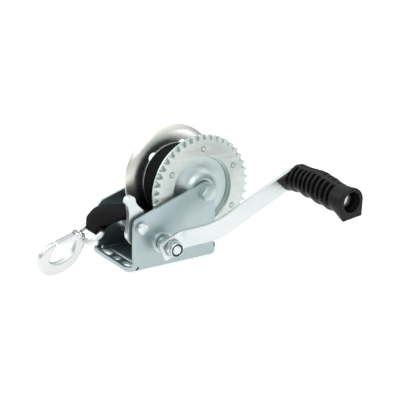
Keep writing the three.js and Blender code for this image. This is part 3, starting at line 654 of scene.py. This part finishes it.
def build_axle():
    near, far = along_y("drum_axle_bolt")
    thread, flange, flats, head = 14, -WALL - 0.1, 16, 5.4
    piece("axle_head", hex_head(DRUM, flats, near, near + head), "frame", "zinc", ["drum_axle_bolt"],
          MATERIALS["dish_zinc"], bevel=0.3)
    shank = [(0, flange - 1), (8.6, flange - 1), (9, flange - 0.7), (9, flange), (AXLE_RADIUS, flange),
             (AXLE_RADIUS, far - thread), (0, far - thread)]
    piece("axle_flange", lathe(shank, DRUM), "frame", "zinc")
    piece("axle_thread", shank_end(DRUM, AXLE_RADIUS, far, far - thread), "frame", "zinc")
    near, far = along_y("drum_axle_washer")
    hole, rim = AXLE_RADIUS + 0.3, 10
    washer = [(hole, near), (rim - 0.4, near), (rim, near + 0.3), (rim, far - 0.3), (rim - 0.4, far),
              (hole, far)]
    piece("axle_washer", lathe(washer, DRUM), "frame", "zinc", ["drum_axle_washer"])
    near, far = along_y("drum_axle_nut")
    nut = lock_nut(DRUM, -far, -near)
    bmesh.ops.scale(nut, vec=(1, -1, 1), verts=nut.verts)
    bmesh.ops.reverse_faces(nut, faces=nut.faces)
    piece("axle_nut", nut, "frame", "zinc", ["drum_axle_nut"], bevel=0.15)


def build_bushing(name, side):
    """The flanged bushing of the pinion's shaft in the wall on one side."""
    face, rim, inner = side * (WALL + 0.1), side * (WALL + 2.3), side * (WALL - SHEET - 0.8)
    profile = [(9.6, rim), (11.2, rim), (11.65, rim - side * 0.2), (11.8, rim - side * 0.7), (11.8, face),
               (10.3, face), (10.3, inner), (9.6, inner)]
    piece(f"bushing_{name}", lathe(profile, PINION), "frame", "bright_steel", [f"shaft_bushing_{name}"],
          MATERIALS["arm_steel"])


def build_pawl_pin():
    near, far = along_y("pawl_pivot_pin")
    profile = [(0, near), (4.9, near), (5.8, near + 0.35), (6.2, near + 1.1), (6.3, near + 3.7),
               (7.4, near + 3.8), (7.4, -WALL - 0.1), (4, -WALL - 0.1), (4, far - 0.5), (3.5, far), (0, far)]
    piece("pawl_pin", lathe(profile, PAWL), "frame", "bright_steel", ["pawl_pivot_pin"],
          MATERIALS["shaded_steel"])


# ---- drum ----

GEAR_TEETH, PINION_TEETH = 42, 10
GEAR_MODULE = 2 * 74.25 / (GEAR_TEETH + PINION_TEETH)    # from the distance between the two axes
GEAR_FIRST = -1.1                                        # the direction of the gear's first tooth
FLANGE_SHEET = 1.9

# A flange's trumpet-shaped neck: its radius and its distance out from the floor.
NECK = [(28, 0), (24, 0.6), (20.5, 1.7), (17.8, 3.4), (15.9, 5.7), (14.8, 7.8), (14.3, 9.9)]


def tooth_outline(teeth, first, fillet=0.8):
    """An involute gear's outline with a tooth centred on the given direction and round roots."""
    pressure, backlash = math.radians(25), 1.1
    pitch = GEAR_MODULE * teeth / 2
    base = pitch * math.cos(pressure)
    root, tip = pitch - 1.25 * GEAR_MODULE, pitch + GEAR_MODULE

    def involute(angle):
        return math.tan(angle) - angle

    at_pitch = math.pi / (2 * teeth) - backlash / (4 * pitch) + involute(pressure)

    def half_tooth(radius):
        return math.degrees(at_pitch - involute(math.acos(min(1.0, base / max(radius, base)))))

    foot = max(base, root)
    flank = [foot + (tip - foot) * i / 5 for i in range(1, 6)]
    corners = []
    for k in range(teeth):
        centre = first + 360 * k / teeth
        corners.append((*polar(root, centre - half_tooth(root)), fillet))
        corners += [polar(radius, centre - half_tooth(radius)) for radius in flank]
        corners += [polar(radius, centre + half_tooth(radius)) for radius in reversed(flank)]
        corners.append((*polar(root, centre + half_tooth(root)), fillet))
    return outline(corners, 25)


def flange_profile(floor, side, outer, inner):
    """A flange's closed profile: outer face, out along the neck, back inside it, inner face."""
    hub, hub_depth = 12.2, 6
    neck = [(r, floor + side * out) for r, out in NECK]
    bore_side = [(hub, floor + side * NECK[-1][1]), (hub, floor + side * hub_depth)]
    bore_side += [(r - 1.7, floor + side * (out - 1.2)) for r, out in reversed(NECK[1:5])]
    return outer + neck + bore_side + [(NECK[0][0] - 0.4, floor - side * FLANGE_SHEET)] + inner


def build_gear():
    near, far = along_y("drum_gear")
    rivets, opening = 6, 38.6
    marks = [polar(47, 30 + 360 / rivets * k, DRUM) for k in range(rivets)]
    teeth = moved(tooth_outline(GEAR_TEETH, GEAR_FIRST), DRUM)
    holes = [circle(DRUM, opening, 120)] + [circle(mark, 3.1, 32) for mark in marks]
    piece("gear_wheel", plate([teeth] + holes, near, far, 0.3), "drum", "gear_zinc", ["drum_gear"])
    for k, mark in enumerate(marks, 1):
        stake = [(0, near + 0.45), (0.9, near + 0.4), (1.3, near - 0.15), (1.8, near - 0.35),
                 (2.3, near - 0.2), (2.5, near + 0.25), (2.5, far + 2), (2.9, far + 2.2), (2.6, far + 3),
                 (0, far + 3.1)]
        piece(f"gear_stake_{k}", lathe(stake, mark, 32), "drum", "gear_zinc", [f"gear_rivet_{k}"])


def build_near_flange():
    """The flange that carries the gear, dished inside the gear's opening."""
    front, dish, shoulder, rim = -28.3, 3.3, 37.3, 62
    floor, back = front + dish, front + FLANGE_SHEET
    outer = [(rim, front + 0.3), (rim - 0.3, front), (shoulder + 1.6, front), (shoulder + 0.5, front + 0.4),
             (shoulder, front + 1.3), (shoulder - 0.1, floor - 1.4), (shoulder - 0.6, floor - 0.5),
             (shoulder - 1.8, floor)]
    inner = [(shoulder - 0.2, floor + FLANGE_SHEET), (shoulder + 1.4, floor + 1.1), (shoulder + 2.4, back),
             (rim - 0.3, back), (rim, back - 0.3)]
    piece("flange_near", lathe(flange_profile(floor, -1, outer, inner), DRUM, 144), "drum", "zinc",
          ["drum_flange_near"], MATERIALS["dish_zinc"])


def build_far_flange():
    """The far flange, with a flared rim and round lightening holes."""
    face = along_y("drum_flange_far")[0]
    floor, steps, holes = face + FLANGE_SHEET, 12, 6
    flat, rim, rise = 48, 62, 6.6
    flare = [(flat + (rim - flat) * t, rise * t * t * (0.6 + 0.4 * t))
             for t in (i / steps for i in range(steps + 1))]
    inner = [(r, face + out) for r, out in flare]
    outer = [(rim + 0.1, face + rise + 1)]
    outer += [(r - 0.25 * out - 0.15, floor + out) for r, out in reversed(flare)]
    flange = lathe(flange_profile(floor, 1, outer, inner), DRUM, 144)
    for k in range(holes):
        flange = cut(flange, bore(polar(40, 136 + 360 / holes * k, DRUM), 6, face - 1, floor + 1))
    # Its colour carries painted shade in hollows, by ambient occlusion.
    piece("flange_far", flange, "drum", "flange_bright", ["drum_flange_far"], MATERIALS["flange_painted_shade"],
          sharp=40)


# ---- crank ----

ARM_TAIL, ARM_TIP = 12.9, 165.0      # how far the arm reaches behind and beyond the pinion's axis


def arm_side():
    """The flat bar seen from its edge: straight at the shaft, a joggle outwards, straight to the grip."""
    near, far, thick = -60.5, -86.0, 4.8
    out_at, back_at = 14.6, 45.0
    out_radius, back_radius = 12, 30
    shift = thick * math.tan(math.atan2(near - far, back_at - out_at) / 2)
    return outline([(-ARM_TAIL, near), (out_at, near, out_radius), (back_at, far, back_radius + thick),
                    (ARM_TIP, far), (ARM_TIP, far + thick), (back_at + shift, far + thick, back_radius),
                    (out_at + shift, near + thick, out_radius + thick), (-ARM_TAIL, near + thick)], 3)


def build_arm():
    half = 10.4
    face = outline([(-ARM_TAIL, -half, 3), (ARM_TIP, -half, 9), (ARM_TIP, half, 9), (-ARM_TAIL, half, 3)])
    holes = [circle((0, 0), 6.5), circle((math.dist(PINION, GRIP), 0), 4.3)]
    bar = combine(slab([arm_side()], -half - 1, half + 1), plate([face] + holes, -95, -50), "INTERSECT")
    turn = Matrix.Rotation(-math.radians(ARM_TILT), 4, "Y")
    bmesh.ops.transform(bar, verts=bar.verts, matrix=Matrix.Translation((PINION[0], 0, PINION[1])) @ turn)
    piece("arm", bar, "crank", "bright_steel", ["crank_arm"], MATERIALS["arm_steel"], sharp=30, bevel=0.7,
          segments=3)


def build_shaft():
    near, far = along_y("pinion_shaft")
    end, journal, neck = -60.7, 9.3, 7.5
    piece("shaft_thread", shank_end(PINION, AXLE_RADIUS, near, end), "crank", "bright_steel")
    bar = [(0, end), (6.2, end), (6.2, -41.2), (journal, -41.2), (journal, -35.4), (SHAFT_RADIUS, -35.4),
           (SHAFT_RADIUS, 35.4), (journal, 35.4), (journal, 42.4), (neck, 42.4), (neck, 44.2), (8.7, 44.2),
           (8.1, far), (0, far)]
    piece("shaft", lathe(bar, PINION), "crank", "bright_steel", ["pinion_shaft"])
    near, far = along_y("crank_spacer_sleeve")
    sleeve = [(6.5, near), (7.8, near), (8.2, near + 0.4), (8.2, far - 0.4), (7.8, far), (6.5, far)]
    piece("spacer", lathe(sleeve, PINION), "crank", "zinc", ["crank_spacer_sleeve"])


def build_pinion():
    """The pinion, turned so that a gap meets the gear's tooth on the line between the two axes."""
    near, far = along_y("pinion_gear")
    meeting = 219.4
    off_tooth = (GEAR_FIRST - meeting) % (360 / GEAR_TEETH)
    gap = meeting - 180 - off_tooth * GEAR_TEETH / PINION_TEETH
    teeth = moved(tooth_outline(PINION_TEETH, gap + 180 / PINION_TEETH, 0.5), PINION)
    gear = plate([teeth, circle(PINION, 8)], near, far, 0.25)
    piece("pinion", gear, "crank", "gear_zinc", ["pinion_gear"])


def build_crank_nut():
    near, far = along_y("crank_lock_nut")
    piece("lock_nut", lock_nut(PINION, near, far), "crank", "bright_steel", ["crank_lock_nut"],
          MATERIALS["shaded_steel"], bevel=0.15)
    near, far = along_y("crank_nut_insert")
    ring = [(5.1, near + 0.4), (5.6, near + 0.1), (6.4, near + 0.05), (6.8, near + 0.4), (6.8, far),
            (5.1, far)]
    piece("nut_ring", lathe(ring, PINION), "crank", "nylon", ["crank_nut_insert"])


def build_grip_bolt():
    near, far = along_y("grip_bolt")
    head, flats, radius = near + 5.3, 13, 4
    piece("grip_bolt_head", hex_head(GRIP, flats, near, head, 15), "crank", "bright_steel", ["grip_bolt"],
          bevel=0.15)
    piece("grip_bolt_shank", shank_end(GRIP, radius, far, head, 1.25), "crank", "bright_steel")
    near, far = along_y("grip_washer")
    disc = [(radius + 0.3, near), (8.2, near), (8.5, near + 0.3), (8.5, far), (radius + 0.3, far)]
    piece("grip_disc", lathe(disc, GRIP), "crank", "bright_steel", ["grip_washer"])
    near, far = along_y("grip_nut")
    hole = radius + 0.1
    nut = cut(hex_head(GRIP, flats, near, far, crown_near=False),
              lathe([(0, near - 1), (hole, near - 1), (hole, far + 1), (0, far + 1)], GRIP, 48))
    piece("grip_rear_nut", nut, "crank", "bright_steel", ["grip_nut"], bevel=0.15)


# ---- grip ----

def apart(angle, other):
    """The angle between two directions, in degrees."""
    return abs((angle - other + 180) % 360 - 180)


def bell(angle, facing, flat_at, half_flat, round_radius):
    """The distance from the axis to a bell outline: round, with one flat side facing a direction."""
    off = apart(angle, facing)
    corner = math.hypot(flat_at, half_flat)
    corner_at = math.degrees(math.atan2(half_flat, flat_at))
    tangent_at = corner_at + math.degrees(math.acos(round_radius / corner))
    if off <= corner_at:
        return flat_at / math.cos(math.radians(off))
    if off <= tangent_at:
        return round_radius / math.cos(math.radians(tangent_at - off))
    return round_radius


def smooth(value, low, high):
    """From 0 at low to 1 at high, with no corners."""
    part = max(0.0, min(1.0, (value - low) / (high - low)))
    return part * part * (3 - 2 * part)


def between(stations, t):
    """Values at t, smoothly between stations of (t, value, ...)."""
    for (t0, *low), (t1, *high) in zip(stations, stations[1:]):
        if t <= t1:
            part = smooth(t, t0, t1)
            return [a + (b - a) * part for a, b in zip(low, high)]
    return list(stations[-1][1:])


# Along the grip from the arm: place from 0 to 1, how far its middle is lifted off the bolt, and its radius.
GRIP_BODY = ((0.0, 5.4, 15.4), (0.1, 5.4, 15.4), (0.25, 4.9, 15.4), (0.47, 4.4, 16.7), (0.62, 2.2, 16.6),
             (0.75, 0.6, 15.4), (0.86, -1.0, 15.6), (1.0, -2.0, 16.2))
LIFT_TOWARDS = 78


def grip_ends(t):
    """How much the root's flange and the free end's guard shape the grip at a place along it."""
    return 1 - smooth(t, 0.01, 0.12), max(0.0, (t - 0.8) / 0.2) ** 2


def finger_swell(angle, t):
    """The waves on the grip's lower side."""
    height, first, length = 0.9, 0.13, 0.2
    under = max(0.0, math.cos(math.radians(angle - LIFT_TOWARDS - 180)))
    return height * under * math.cos(2 * math.pi * (t - first) / length)


def groove_depth(angle, along):
    """The grooves between the ridges on both flanks: they stop short of the spine and the lower side."""
    spine, pitch, first, count, depth = 106, 7.15, 9.8, 10, 4.2
    off = apart(angle, spine)
    flank = smooth(off, 7, 15) * (1 - smooth(off, 80, 100))
    place = (along - first) / pitch
    from_groove = abs(place - min(max(round(place), 0), count - 1))
    return depth * (1 - smooth(from_groove, 0.17, 0.32)) * flank


def grip_radius(angle, t, length):
    """The distance from the grip's lifted middle to its surface."""
    root, guard = grip_ends(t)
    _, body = between(GRIP_BODY, t)
    body += finger_swell(angle, t) * (1 - guard) - groove_depth(angle, t * length)
    flange = bell(angle, 90 + ARM_TILT, 10.3, 18.9, 12.4)
    end = bell(angle, 276.6, 18.2, 13.2, 15.6)
    return root * flange + guard * end + (1 - root - guard) * body


def grip_ring(t, near, far, sides=168):
    root, guard = grip_ends(t)
    lift = between(GRIP_BODY, t)[0] * (1 - root) * (1 - guard)
    middle = polar(lift, LIFT_TOWARDS, GRIP)
    rounding = 0.5 * max(0.0, 1 - 60 * min(t, 1 - t))
    y = far - (far - near) * t
    ring = []
    for k in range(sides):
        angle = 360 * k / sides
        x, z = polar(grip_radius(angle, t, far - near) - rounding, angle, middle)
        ring.append((x, y, z))
    return ring


def build_grip():
    near, far = along_y("grip")
    rings, hole = 320, 4.6
    body = loft([grip_ring(i / rings, near, far) for i in range(rings + 1)])
    floor = along_y("grip_washer")[1] + 0.1
    drill = lathe([(0, near - 1), (11.6, near - 1), (10.8, near + 0.8), (10.6, floor), (hole, floor),
                   (hole, far + 1), (0, far + 1)], GRIP)
    piece("hand_grip", cut(body, drill), "grip", "grip_rubber", ["grip"], sharp=45)


# ---- pawl ----

def build_pawl():
    near, far = along_y("pawl")
    back = [(-4.4, 30), (-12.6, 24), (-11, 15, 8), (-11.7, 3, 10), (-13.9, -6.5, 5), (-13.2, -12, 3),
            (-7.5, -20, 2)]
    lower_tooth = [(2, -23), (6.1, -22.6), (6.9, -21.1), (4, -18.5)]
    beak = [(8, -9, 6), (19, 0.1), (22.8, -2.6), (24, -1.8), (22.8, 2.8, 1), (19.5, 6.5, 2)]
    neck = [(8.4, 11, 3), (6.4, 16.6, 2), (-1.2, 24, 6)]
    shape = moved(outline(back + lower_tooth + beak + neck, 12), PAWL)
    knob = circle((PAWL[0] - 9.4, PAWL[1] + 28.9), 6)
    body = combine(plate([shape], near, far), plate([knob], near, far), "UNION")
    body = cut(body, bore(PAWL, 4.3, near - 1, far + 1))
    piece("pawl_plate", body, "pawl", "zinc", ["pawl"], MATERIALS["arm_steel"], sharp=30, bevel=0.6,
          segments=3)


# ---- webbing ----

STRAP_HALF, STRAP_THICK = 23.5, 2.4
ROLL_RADIUS = 42.3


def catmull(points, count):
    """Places along a smooth curve through points of any dimension, `count` steps between neighbours."""
    places = []
    last = len(points) - 1
    for i in range(last * count + 1):
        k = min(i // count, last - 1)
        t = i / count - k
        p0, p1, p2, p3 = (points[max(0, min(last, k + n))] for n in (-1, 0, 1, 2))
        places.append([0.5 * (2 * b + (c - a) * t + (2 * a - 5 * b + 4 * c - d) * t * t
                              + (3 * b - a - 3 * c + d) * t ** 3) for a, b, c, d in zip(p0, p1, p2, p3)])
    return places


def write_uv(made, places):
    """A UV layer in metres, across and along the webbing, from a list with a place for each vertex."""
    layer = made.data.uv_layers.new(name="weave")
    for loop in made.data.loops:
        layer.data[loop.index].uv = places[loop.vertex_index]


def strap_stations():
    """The free run, round the hook's eye and back: the middle in X and Z, half the width, edge droop."""
    half = STRAP_HALF
    on_drum = [(*polar(44.2, angle, DRUM), half, 0) for angle in (-98, -106)]
    free = [(5, 42.4, half, 0), (-14, 49.4, half, 0), (-27, 54.2, half, 0), (-38, 57.4, half, 0.8),
            (-47.5, 60, half, 1.6), (-56, 60.4, half, 2.5), (-64.5, 59.9, half, 4), (-72, 57.2, 21.5, 5),
            (-78, 51.5, 16, 2)]
    loop = [(x, z, 11.4, 0) for x, z in arc(EYE, 5.0, 160, 370, 7)]
    back = [(-66, 47.5, 15, 1), (-62, 52, 20, 1), (-56, 54.6, 23, 1), (-48, 54.2, half, 0.8),
            (-38, 52.6, half, 0.6), (-28, 50.7, half, 0.3), (-22.5, 49.3, half, 0)]
    return on_drum + free + loop + back


def strap_section(columns):
    """Places from -1 to 1 across the upper face and back across the lower one, each with its height."""
    section = []
    for k in range(2 * columns):
        face = 1 if k < columns else -1
        u = (k if face > 0 else 2 * columns - 1 - k) / (columns - 1)
        place = -math.cos(math.pi * u)
        rounded = min(1.0, math.sqrt(max(0.0, 1 - abs(place) ** 24)) + 0.15)
        selvage_line = 0.25 * math.exp(-((abs(place) - 0.88) / 0.03) ** 2)
        section.append((place, face * (STRAP_THICK / 2 * rounded - selvage_line)))
    return section


def build_strap():
    path = catmull(strap_stations(), 12)
    section = strap_section(32)
    rings, places = [], []
    along = 0.0
    for i, (x, z, half, droop) in enumerate(path):
        before, after = path[max(0, i - 1)], path[min(len(path) - 1, i + 1)]
        heading = Vector((after[0] - before[0], after[1] - before[1])).normalized()
        along += math.dist((x, z), before[:2])
        ring = []
        for place, face in section:
            height = face - droop * place * place
            ring.append((x + heading.y * height, place * half, z - heading.x * height))
            places.append((place * STRAP_HALF * MM, along * MM))
        rings.append(ring)
    write_uv(piece("webbing_run", loft(rings), "frame", "webbing", ["strap_tail"], sharp=70), places)


def roll_side(inner, layer):
    """One side of the roll: (radius, how far it stands out), a low step for each layer's edge."""
    side = []
    radius = inner
    while radius < ROLL_RADIUS - layer:
        side += [(radius, 0.0), (radius + 0.3, 0.45), (radius + layer - 0.3, 0.45)]
        radius += layer
    return side + [(radius, 0.0), (radius + 0.3, 0.5), (ROLL_RADIUS - 0.25, 0.45), (ROLL_RADIUS, 0.2)]


def build_roll():
    near, far = along_y("strap_roll")
    step = 0.45
    side = roll_side(25.0, 1.55)
    profile = [(r, near + step - out) for r, out in side]
    profile += [(r, far - step + out) for r, out in reversed(side)]
    made = piece("webbing_roll", lathe(profile, DRUM, 144), "drum", "webbing", ["strap_roll"], sharp=50)
    places = []
    for vertex in made.data.vertices:
        x, z = vertex.co.x / MM - DRUM[0], vertex.co.z / MM - DRUM[1]
        places.append((vertex.co.y, math.atan2(z, x) * ROLL_RADIUS * MM))
    write_uv(made, places)


def build_edge_highlight():
    """A painted highlight: a pale metal bead along the far edge of the roll's outermost layer, where the edge
    catches light.
    """
    far, sides = along_y("strap_roll")[1], 12
    radius, y = ROLL_RADIUS - 0.4, far - 0.55
    turns = (2 * math.pi * k / sides for k in range(sides))
    bead = [(radius + 0.75 * math.cos(turn), y + 0.55 * math.sin(turn)) for turn in turns]
    piece("webbing_edge_highlight", lathe(bead, DRUM, 144), "drum", "webbing", material=MATERIALS["selvage"],
          sharp=80)


# ---- snap hook ----

def ring_bar(points, radius, sides=24):
    """A round bar along points in space, closed into a ring."""
    curve = bpy.data.curves.new("rod", "CURVE")
    curve.dimensions = "3D"
    curve.bevel_depth = radius
    curve.bevel_resolution = sides // 4
    spline = curve.splines.new("POLY")
    spline.points.add(len(points) - 1)
    for place, co in zip(spline.points, points):
        place.co = (*co, 1)
    spline.use_cyclic_u = True
    bm = mesh_of(curve)
    bmesh.ops.recalc_face_normals(bm, faces=bm.faces)
    return bm


def forged(bm, voxel=0.42, rounds=4):
    """A solid melted together into one soft skin, as a forging is."""
    mesh = bpy.data.meshes.new("forging")
    bm.to_mesh(mesh)
    bm.free()
    holder = bpy.data.objects.new("forging", mesh)
    bpy.context.scene.collection.objects.link(holder)
    remesh = holder.modifiers.new("skin", "REMESH")
    remesh.mode = "VOXEL"
    remesh.voxel_size = voxel
    soften = holder.modifiers.new("soften", "SMOOTH")
    soften.factor = 0.5
    soften.iterations = rounds
    result = bmesh.new()
    result.from_mesh(holder.evaluated_get(bpy.context.evaluated_depsgraph_get()).data)
    bpy.data.objects.remove(holder)
    bpy.data.meshes.remove(mesh)
    return result


# The hook's outline from the middle of the eye's end bar: round its outside to the tip, and back inside it.
HOOK_OUTER = ((-13.3, -10.5), (-18.7, -22.1), (-25.7, -32.1), (-35.4, -38.9), (-47.3, -41.9), (-57.1, -41.6),
              (-64.5, -37.1), (-68.1, -28.6), (-67.6, -19.5), (-62.6, -12.5), (-54.7, -8), (-49.1, -7.2))
HOOK_INNER = ((-47.7, -9.7), (-51.2, -15.1), (-55, -22.1), (-54.8, -26.5), (-50.3, -28.9), (-43.9, -28.5),
              (-37, -25.7), (-30.5, -20.6), (-27.1, -14), (-25.4, -8.4))
HOOK_THROAT = ((-24, -2.4), (-18.5, -0.6), (-14.2, -3))


def eye_ring():
    """The hook's eye: a wide ring of round bar, tilted up towards the webbing."""
    bar, long, half, tilt = 3.2, 18.4, 16.7, math.radians(30)
    loop = outline([(-long, -half, 8), (0, -half, 4.5), (0, half, 4.5), (-long, half, 8)], 9)
    return ring_bar([(x * math.cos(tilt) + EYE[0], y, x * math.sin(tilt) + EYE[1]) for x, y in loop], bar)


def build_hook():
    half_thick = 4.3
    shape = catmull(HOOK_OUTER, 6) + catmull(HOOK_INNER, 6) + list(HOOK_THROAT)
    body = plate([moved(shape, EYE)], -half_thick, half_thick, 3.0, 6)
    hook = forged(combine(body, eye_ring(), "UNION"))
    hook = cut(hook, bore(LATCH, 2.4, -10, 10, 32))
    piece("hook_body", hook, "hook", "forged", ["snap_hook"], sharp=50)


def build_rivet():
    wide, end, shank, head = 5.6, 8.2, 2, 3.2
    profile = [(0, -wide - 1.2), (1.8, -wide - 1.15), (2.8, -wide - 0.85), (head, -wide - 0.3),
               (head, -wide - 0.1), (shank, -wide - 0.1), (shank, end - 0.8), (head, end - 0.8),
               (head - 0.1, end - 0.4), (2.4, end - 0.05), (0, end)]
    piece("hook_rivet", lathe(profile, LATCH, 40), "hook", "bright_steel", ["latch_rivet"])


def build_latch():
    """A pressed channel: a narrow top strip with two low side flanges that widen into the rivet's ears."""
    wide, sheet = 5.5, 1.0
    side = outline([(3, -2.6, 2.4), (3.1, 2.6, 2.4), (-3.2, 2.4, 2), (-24.4, -3.9, 0.5), (-24.6, -6.2, 0.6),
                    (-22, -5.9), (-19, -6.5, 1.5), (-8, -4.6, 3), (-3, -4.6, 2)], 10)
    ears = combine(plate([moved(side, LATCH)], -wide, -wide + sheet, 0.25),
                   plate([moved(side, LATCH)], wide - sheet, wide, 0.25), "UNION")
    strip = [(-4.5, 0.9), (-24.3, -5.0), (-24.0, -6.1), (-4.2, -0.2)]
    bridge = plate([moved(strip, LATCH)], -wide + 0.4, wide - 0.4, 0.2)
    latch = cut(combine(ears, bridge, "UNION"), bore(LATCH, 2.3, -10, 10, 32))
    piece("latch_strip", latch, "latch", "zinc", ["hook_latch"], MATERIALS["arm_steel"], bevel=0.2)


# ---- everything ----

def smooth_nodes():
    """Hidden CAD nodes keep their own mesh: smooth, with their hard edges marked."""
    slots = {part["node"]: part["material_slot"] for part in frame["record"]["subparts"]}
    for name, node in NODES.items():
        node.data.materials.clear()
        node.data.materials.append(MATERIALS[slots[name]])
        bm = bmesh.new()
        bm.from_mesh(node.data)
        for face in bm.faces:
            face.smooth = True
        for edge in bm.edges:
            edge.smooth = len(edge.link_faces) == 2 and edge.calc_face_angle(0) < math.radians(35)
        bm.to_mesh(node.data)
        bm.free()


smooth_nodes()
build_frame()
build_axle()
build_bushing("near", -1)
build_bushing("far", 1)
build_pawl_pin()
build_gear()
build_near_flange()
build_far_flange()
build_arm()
build_shaft()
build_pinion()
build_crank_nut()
build_grip_bolt()
build_grip()
build_pawl()
build_strap()
build_roll()
build_edge_highlight()
build_hook()
build_rivet()
build_latch()
